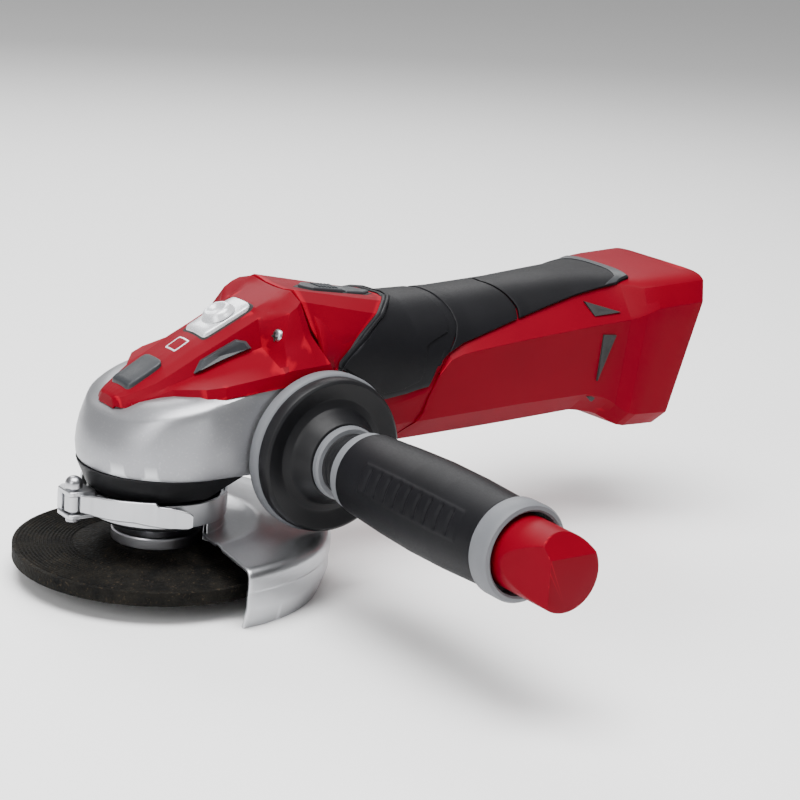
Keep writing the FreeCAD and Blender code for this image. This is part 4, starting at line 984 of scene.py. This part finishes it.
# each soft panel's front, rear and lower edge in x and z, and how proud it stands
gripPanels = dict(
    gripBase=dict(
        front=[(62.6, 86.0), (63.4, 88.2), (77, 96.8), (91, 103.8), (98, 105.8), (101, 106.2)],
        rear=[(119.0, 85.2), (126.6, 95.6), (128.5, 106)],
        low=bodyLook["gripLow"][:7] + [(119.0, 85.2)], proud=0.5, finish=blackGrip, wall=1.6,
        rows=70),
    gripFront=dict(
        front=[(64.6, 85.6), (67, 88.2), (79, 95.2), (94, 102.8), (100, 105.0), (103.2, 106)],
        rear=[(104.6, 75.6), (106.2, 79), (108.4, 89.4), (112, 91.2), (120.4, 93.8), (121.8, 96.5),
              (121.6, 101), (119.6, 106)],
        low=[(64.6, 85.6), (74, 79.4), (87, 72.4), (96, 73.0), (104.6, 75.6)], proud=1.15,
        finish=blackGrip, wall=1.6, rows=60, columns=50),
    gripMiddle=dict(
        front=[(119.6, 85.8), (123.6, 91), (126, 96), (126.2, 101), (124.2, 106)],
        rear=[(157.6, 96.1), (158.8, 100), (157.6, 104), (154.0, 107.2)],
        low=[(119.6, 85.8), (127.5, 89.2), (157.6, 96.1)], proud=1.0, finish=blackGrip, rows=30),
    gripRear=dict(
        front=[(158.8, 96.4), (159.8, 100), (158.6, 104), (155.0, 107.2)],
        rear=[(214.0, 107.2), (217.5, 108.4), (221.0, 109.3), (223.0, 109.8)],
        low=[(158.8, 96.4), (193, 103.8), (214.0, 107.2)], proud=1.0, finish=blackGrip, rows=50,
        fade=0.3),
    gripTip=dict(
        front=[(207.5, 106.3), (210.5, 107.5), (215.5, 108.8), (219, 109.5)],
        rear=[(213.6, 107.3), (217.0, 108.5), (220.5, 109.4), (222.5, 109.8)],
        low=[(207.5, 106.3), (213.6, 107.3)], proud=1.1, finish=slateGrip, rows=20))


def makeGrip():
    # soft panels laid on the rounded section; the lowest one shows as the lines between them
    panels = {name: bodyPanel(name, **panel) for name, panel in gripPanels.items()}
    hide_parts("grip_cover_left", "grip_cover_right")


makeRedBody()
makeGrip()
print("body made")


# front hood: a faceted shell from the head cover's seam back to the grip
hoodLook = dict(
    seam=[(50.6, 0, 113.4), (50.4, 6.6, 113.6), (50.2, 11.0, 114.4), (49.8, 15.2, 115.0),
          (49.2, 22, 111.8), (51.6, 27.6, 101.2), (57.2, 31.4, 90.4), (61.0, 32.6, 76.0)],
    rear=[(101.5, 0, 106.2), (100.4, 5.2, 106.3), (97.8, 9.0, 107.0), (94.6, 13.4, 106.6),
          (87.0, 21.4, 103.6), (75.0, 26.8, 96.6), (64.0, 30.6, 87.8), (62.4, 31.6, 84.6)],
    swell=0.9, wall=2.2,
    # the rubber lip behind the hood: rise, distance back and radius of each bead
    lips=((-0.5, 0.6, 1.2), (-0.1, 2.4, 0.9)))


def hoodGrid(rows=26, per=7):
    # straight runs from the seam to the rear line, with a slight swell in the side
    seam, rear = lineThrough(hoodLook["seam"], per), lineThrough(hoodLook["rear"], per)
    share = np.linspace(0, 1, rows)[:, None, None]
    grid = (1 - share) * seam[None] + share * rear[None]
    down = np.interp(np.arange(grid.shape[1]), (0, 3 * per, 5 * per), (0, 0.15, 1))
    grid[..., 1] += hoodLook["swell"] * np.sin(np.pi * share[..., 0]) * down
    return grid * flipY


def makeHood():
    # the hood's grid and its mirror; the lip's beads follow the rear line, a little further back
    grid = hoodGrid()
    hood = surfaceFrom("motorHood", mirrored(grid[:, ::-1]))
    upwardFaces(hood)
    dressed(hood, "housing", *redShell, wall=hoodLook["wall"], edge=0.5, segments=3, angle=15,
            smooth=24)
    for index, (rise, back, radius) in enumerate(hoodLook["lips"]):
        lip = grid[-1] + np.array([back, 0, rise])
        lip[:, 1] -= 0.12 * back
        makeTube(f"hoodLip{index}", mirrored(lip[::-1]), radius)


def makeTube(name, line, radius, count=12):
    # a round bead along a line: a circle set square to it at each point
    along = np.gradient(line, axis=0)
    along /= np.linalg.norm(along, axis=1)[:, None]
    side = np.cross(along, np.array([0.15, 0.1, 1.0]))
    side /= np.linalg.norm(side, axis=1)[:, None]
    up = np.cross(side, along)
    angles = np.radians(np.arange(count) * 360 / count)
    ring = (side[:, None] * np.cos(angles)[None, :, None]
            + up[:, None] * np.sin(angles)[None, :, None]) * radius
    bead = lofted(name, line[:, None] + ring)
    dressed(bead, "housing", *blackGrip, smooth=50)


switchLook = dict(front=61.5, rear=97.0, split=81.5, half=5.2, gap=0.6, rim=0.9,
                  ribs=6, ribFrom=8.2, ribStep=1.7, ribWide=0.8, ribIn=1.4, ribProud=1.95,
                  # the link runs under the hood and the grip to the finger at the switch block
                  link=dict(Riser=((66, -1.8, 101), (72, 1.8, 110.4)),
                            Finger=((178.5, -1.8, 96.4), (182, 1.8, 101.4)),
                            Bar=((66, -1.8, 100.8), (182, 1.8, 102.4))))


def hoodTop(x):
    # height of the hood's middle line
    seam, rear = hoodLook["seam"][0], hoodLook["rear"][0]
    return np.interp(x, (seam[0], rear[0]), (seam[2], rear[2]))


def hexagonPad(name, corners, proud, sunk, material, slot, body, edge=0.4):
    # a plate on the hood's top with its outline given in x and y
    corners = np.array(corners, float)
    layers = []
    for scale, lift in ((1, -sunk), (1, proud), (0.02, proud)):
        flat = shrunk(corners, scale)
        layers.append(np.column_stack([flat, hoodTop(flat[:, 0]) + lift]))
    piece = lofted(name, layers)
    return dressed(piece, body, material, slot, edge=edge, angle=25)


def makeSwitch():
    # a pointed slider and a pointed fixed pad in one well, darkened with painted shade, and the link
    # under them
    look = switchLook
    front, rear, half = look["front"], look["rear"], look["half"]
    start, end = look["split"] - look["gap"], look["split"] + look["gap"]
    wide = half + look["rim"]
    # the well is a thin black sheet of painted shade round the slider and the pad
    hexagonPad("switchWellShade", [(front - 2.4, 0), (front + 3.6, wide), (rear - 5.5, wide),
                              (rear + 2.0, 0), (rear - 5.5, -wide), (front + 3.6, -wide)],
               0.12, 1.2, *paintedShadeBlack, "housing", edge=0.1)
    slider = hexagonPad("switchSlider", [(front, 0), (front + 4.4, half), (start, half),
                                         (start, -half), (front + 4.4, -half)],
                        1.5, 1.0, *slatePart, "switch", edge=0.6)
    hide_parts("switch_slider")
    for index in range(look["ribs"]):
        low = front + look["ribFrom"] + index * look["ribStep"]
        high, reach = low + look["ribWide"], half - look["ribIn"]
        hexagonPad(f"switchRib{index}", [(low, -reach), (low, reach), (high, reach), (high, -reach)],
                   look["ribProud"], 0.2, *slatePart, "switch", edge=0.2)
    back = hexagonPad("switchRearPad", [(end, half), (rear - 6.0, half), (rear, 0),
                                        (rear - 6.0, -half), (end, -half)],
                      1.2, 1.0, *slatePart, "housing", edge=0.6)
    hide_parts("switch_rear_pad")
    for label, corners in look["link"].items():
        bar = dressed(blockOf("switchLink" + label, *corners), "switch", *darkPart)
    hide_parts("switch_link")


makeHood()
makeSwitch()
print("hood and switch made")


# vents in the side of the foot, drawn as dark wedges of painted shade: x, half width and z of their
# corners
ventLook = dict(depth=3, proud=0.25,
                shapes=dict(ventUpper=[(194.5, 24.6, 101.2), (211, 30.6, 96.6), (197, 29.4, 95.6)],
                            ventLower=[(200.5, 32.35, 87.6), (207.5, 33.2, 87.0),
                                       (204.0, 32.4, 78), (200.2, 31.3, 66.5)],
                            ventLow=[(197.0, 28.9, 59.0), (203.0, 29.2, 59.0),
                                     (201.0, 27.7, 56.0)]))


def makeVents():
    # a dark wedge of painted shade in each vent opening, its outer face just proud of the red, on each
    # side
    for name, corners in ventLook["shapes"].items():
        for side, label in sides:
            outer = np.array(corners) * np.array([1, side, 1])
            outer = outer + np.array([0, side * ventLook["proud"], 0])
            inner = outer - np.array([0, side * ventLook["depth"], 0])
            layers = np.stack([inner, outer, shrunk(outer, 0.03)])
            wedge = lofted(name + label, leaned(layers))
            dressed(wedge, "housing", *paintedShadeBlack, smooth=30)


makeVents()


footLook = dict(wall=37.0, inside=27.0, low=45.0, high=106.2, bayLow=56.0, face=255.8, floor=247.4,
                railIn=23.6, railFrom=251.4, railTo=254.2, railLow=60.0, railHigh=105.2)


def leanedBlock(name, x, y, z, material, slot, edge=0.6):
    # a box sheared along X in step with height, as the foot's rear face leans
    piece = blockOf(name, (x[0], y[0], z[0]), (x[1], y[1], z[1]))
    shear = Matrix.Identity(4)
    shear[0][2] = bodyLook["lean"]
    shear[0][3] = -bodyLook["lean"] * bodyLook["leanZ"] * mm
    piece.data.transform(shear)
    return dressed(piece, "housing", material, slot, edge=edge, smooth=30)


def makeFoot():
    # the floor, sill, walls and rails of the open bay behind the foot
    look = footLook
    wall, inside, face = look["wall"] - 3.6, look["inside"], look["face"]
    leanedBlock("bayFloorWall", (look["floor"] - 2.5, look["floor"]), (-wall, wall),
                (look["low"] + 2, look["high"] - 0.6), *darkBay)
    leanedBlock("baySill", (look["floor"], face), (-wall + 6, wall - 6),
                (look["low"] + 1.2, look["bayLow"]), *redShell, edge=1.0)
    for side, label in sides:
        spans = sorted((side * inside, side * wall))
        leanedBlock("bayWall" + label, (look["floor"], face), spans, (look["low"] + 6, look["high"]),
                    *redShell, edge=1.0)
        rail = sorted((side * look["railIn"], side * (inside + 1)))
        leanedBlock("bayRail" + label, (look["railFrom"], look["railTo"]), rail,
                    (look["railLow"], look["railHigh"]), *darkBay)


makeFoot()
print("foot made")


# side handle, along minus Y from the gear head
handleAxis = (50.4, 0, 55.2)


def handlePiece(name, profile, material, slot, **options):
    # a profile turned about the handle's axis
    piece = turned(name, profile, handleAxis, "-Y")
    return dressed(piece, "side_handle", material, slot, **options)


# turned pieces of the handle, as radius and distance from the spindle's plane
handleLook = dict(
    rim=[(22, 40), (31.6, 38.6), (32.5, 39.6), (32.5, 43.4), (31.8, 44.4), (29.5, 45.2), (24, 45.2),
         (22, 44), (22, 40)],
    flange=[(10, 41), (30.6, 41), (31.4, 44.6), (31.4, 48.2), (30.9, 49.6), (29.8, 50.3),
            (29.0, 50.1), (27.8, 49.75), (26.6, 49.4), (25.4, 49.05), (24.2, 48.7), (23.0, 48.35),
            (21.5, 48.9), (19.8, 49.6), (18.6, 51.4), (17.2, 54.4), (15.4, 57), (10, 57.4), (10, 41)],
    innerRing=[(8, 57.2), (14.2, 57.2), (15.0, 58), (15.0, 60), (14.2, 60.8), (8, 60.8), (8, 57.2)],
    outerRing=[(8, 70.6), (14.6, 70.6), (15.8, 71.6), (15.8, 74), (15.2, 75.4), (8, 75.4),
               (8, 70.6)],
    neckRadius=12.5, neckLow=60.4, neckHigh=71, grooves=(62.2, 65.0, 67.8), grooveHalf=0.5,
    grooveRadius=11.9,
    endRing=[(15.6, 163.6), (18.0, 163.6), (18.6, 164.6), (18.6, 171.8), (17.8, 173.2),
             (16.4, 173.6), (15.6, 173), (15.6, 163.6)],
    endHollow=[(8, 162), (15.7, 162), (15.7, 168), (8, 168), (8, 162)])


def makeHandleDisc():
    # a dished black disc in a grey rim
    rim = handlePiece("handleRim", handleLook["rim"], *greyRing, smooth=45)
    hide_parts("handle_rim")
    dish = handlePiece("handleFlange", handleLook["flange"], *darkPart, smooth=40, edge=0.2)
    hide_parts("handle_flange")


def makeHandleRings():
    # a grooved neck between two grey rings, and the grey ring at the grip's end with a dark ring of
    # painted shade in its hollow
    look = handleLook
    handlePiece("damperRingInner", look["innerRing"], *greyRing)
    outer = handlePiece("damperRingOuter", look["outerRing"], *greyRing)
    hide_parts("damper_rings")
    radius, low, high, half = (look[key] for key in ("neckRadius", "neckLow", "neckHigh", "grooveHalf"))
    neck = [(8, low), (radius, low)]
    for z in look["grooves"]:
        neck += [(radius, z - half), (look["grooveRadius"], z), (radius, z + half)]
    middle = handlePiece("handleNeck", neck + [(radius, high), (8, high), (8, low)], *darkPart)
    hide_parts("handle_neck")
    end = handlePiece("handleEndRing", look["endRing"], *greyRing)
    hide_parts("handle_end_ring")
    # a dark ring of painted shade in the hollow inside the end ring
    handlePiece("handleEndHollowShade", look["endHollow"], *paintedShadeBlack)


# shape is distance along the handle and radius; facing and spread are angles round it
gripLook = dict(shape=[(75.2, 15.6), (76.6, 16.6), (84, 17.0), (100, 17.9), (118, 18.5),
                       (138, 18.3), (154, 17.6), (162.4, 17.3), (163.8, 16.4)],
                blocks=9, blockFrom=94, blockTo=152, facing=158, spread=20, depth=0.8, raised=0.3)


def makeHandleGrip():
    # the radius follows the shape; a raised field on each side has a row of short grooves
    look = gripLook
    along = np.concatenate([np.linspace(75.2, 77, 5), np.linspace(77.6, 162.2, 150),
                            np.linspace(162.6, 163.8, 4)])
    around = np.radians(np.arange(192) * 360 / 192)
    radius = tableAt(look["shape"], along)[0][:, None] + np.zeros((1, 192))
    phase = (along - look["blockFrom"]) / (look["blockTo"] - look["blockFrom"]) * look["blocks"]
    bar = np.clip(10 * (0.16 - np.abs(phase % 1 - 0.5)), 0, 1)
    bar *= (along > look["blockFrom"]) * (along < look["blockTo"])
    turn = np.abs((np.degrees(around) - look["facing"] + 90) % 180 - 90)
    band = np.clip((look["spread"] - turn) / 2.5, 0, 1)
    field = (along > look["blockFrom"] - 2) * (along < look["blockTo"] + 2)
    radius += look["raised"] * band[None] * field[:, None]
    radius -= look["depth"] * bar[:, None] * np.clip((look["spread"] - 4 - turn) / 2, 0, 1)[None]
    points = np.stack([radius * np.cos(around), -along[:, None] + 0 * radius,
                       radius * np.sin(around)], -1) + np.array(handleAxis)
    grip = lofted("handleGrip", points)
    dressed(grip, "side_handle", *blackGrip, smooth=60)
    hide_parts("handle_grip")


coreLook = dict(radius=14.0, start=166, end=196.6, topEnd=6.4, topSlope=1.25, sideEnd=8.0,
                sideSlope=0.3)


def makeHandleCore():
    # a round bar whose end has a bevel above and a long shallow flat on its front side
    look = coreLook
    along = np.concatenate([np.linspace(look["start"], 176, 6), np.linspace(177, 196.0, 60),
                            np.array([196.4, 196.6])])
    around = np.radians(np.arange(144) * 360 / 144)
    radius = np.full(len(along), look["radius"])
    radius[-2:] = (13.7, 13.1)
    back = (look["end"] - along)[:, None]
    across = np.maximum(radius[:, None] * np.cos(around), -look["sideEnd"] - back * look["sideSlope"])
    up = np.minimum(radius[:, None] * np.sin(around), look["topEnd"] + back * look["topSlope"])
    points = np.stack([across, -along[:, None] + 0 * across, up], -1) + np.array(handleAxis)
    core = lofted("handleCore", points)
    dressed(core, "side_handle", *redShell, edge=0.4, segments=3, angle=28, smooth=30)
    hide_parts("handle_core")


makeHandleDisc()
makeHandleRings()
makeHandleGrip()
makeHandleCore()
print("side handle made")


# the CAD parts that stay get the finish of their record slot
slotFinish = dict(disc="abrasiveGrain", steel="turnedSteel", zinc_steel="zincPlate",
                  silver_casting="satinCasting", black_casting="blackCasting",
                  red_plastic="redNylon", black_soft="softBlack", grey_soft="greyElastomer",
                  dark_plastic="darkNylon", white_button="whiteNylon", bronze="brassAlloy",
                  copper="brassAlloy", magnet="ferriteAndShadeBlack", carbon="ferriteAndShadeBlack",
                  board="boardGreen")
for part in frame["record"]["subparts"]:
    kept = nodes.get(part["node"])
    if kept is None:
        continue
    finish = finishes[slotFinish[part["material_slot"]]]
    if not kept.material_slots:
        kept.data.materials.append(finish)
    for entry in kept.material_slots:
        entry.material = finish
print("CAD finishes set")


floorLook = dict(colour=(0.96, 0.96, 0.96, 1), rough=0.6, half=6.0, gap=0.0002)


def makeStage():
    # one large pale square just under the lowest point
    look = floorLook
    floorMaterial, tree, shader, coords = newMaterial("floorMatte")
    shader.inputs["Base Color"].default_value = look["colour"]
    shader.inputs["Roughness"].default_value = look["rough"]
    mesh = bpy.data.meshes.new("floor")
    size, low = look["half"], cadBox[0][2] - look["gap"]
    mesh.from_pydata([(-size, -size, low), (size, -size, low), (size, size, low),
                      (-size, size, low)], [], [[0, 1, 2, 3]])
    floor = bpy.data.objects.new("floor", mesh)
    mesh.materials.append(floorMaterial)
    bpy.context.scene.collection.objects.link(floor)


# places and sizes of the lamps are in metres
lightLook = dict(target=(0.08, 0, 0.07), room=0.36,
                 lamps=dict(topSoftbox=dict(place=(-0.1, -0.2, 1.3), size=(1.2, 0.9), power=44),
                            frontSoftbox=dict(place=(-1.1, -0.5, 0.6), size=(0.5, 0.8), power=9),
                            rimSoftbox=dict(place=(0.5, 1.0, 0.9), size=(1.0, 0.5), power=12)))


def makeLight(name, target, place, size, power):
    # a rectangular lamp that faces the target
    lamp = bpy.data.lights.new(name, "AREA")
    lamp.shape = "RECTANGLE"
    lamp.size, lamp.size_y = size
    lamp.energy = power
    holder = bpy.data.objects.new(name, lamp)
    holder.location = place
    facing = Vector(target) - Vector(place)
    holder.rotation_euler = facing.to_track_quat("-Z", "Y").to_euler()
    bpy.context.scene.collection.objects.link(holder)


def makeLights():
    # an even white room and three lamps
    world = bpy.data.worlds.new("paleRoom")
    world.use_nodes = True
    background = world.node_tree.nodes["Background"]
    background.inputs["Color"].default_value = (1, 1, 1, 1)
    background.inputs["Strength"].default_value = lightLook["room"]
    bpy.context.scene.world = world
    for name, lamp in lightLook["lamps"].items():
        makeLight(name, lightLook["target"], **lamp)


cameraLook = dict(azimuth=-35.968, elevation=15.548, roll=3.983, place=(-412.93, -730.23, 309.14),
                  lens=98.17, sensor=36.0)


def makeCamera():
    # looks back along a direction given by azimuth and elevation, then rolls about it
    look = cameraLook
    turn, lift, roll = (math.radians(look[key]) for key in ("azimuth", "elevation", "roll"))
    back = Vector((math.sin(turn) * math.cos(lift), -math.cos(turn) * math.cos(lift),
                   math.sin(lift)))
    right = Vector((math.cos(turn), math.sin(turn), 0))
    up = back.cross(right)
    right, up = (math.cos(roll) * right + math.sin(roll) * up,
                 math.cos(roll) * up - math.sin(roll) * right)
    lensData = bpy.data.cameras.new("studyCamera")
    lensData.lens = look["lens"]
    lensData.sensor_width = look["sensor"]
    camera = bpy.data.objects.new("studyCamera", lensData)
    axes = Matrix((right, up, back)).transposed().to_4x4()
    camera.matrix_world = Matrix.Translation(Vector(look["place"]) * mm) @ axes
    bpy.context.scene.collection.objects.link(camera)
    bpy.context.scene.camera = camera


makeStage()
makeLights()
makeCamera()
print("stage made")
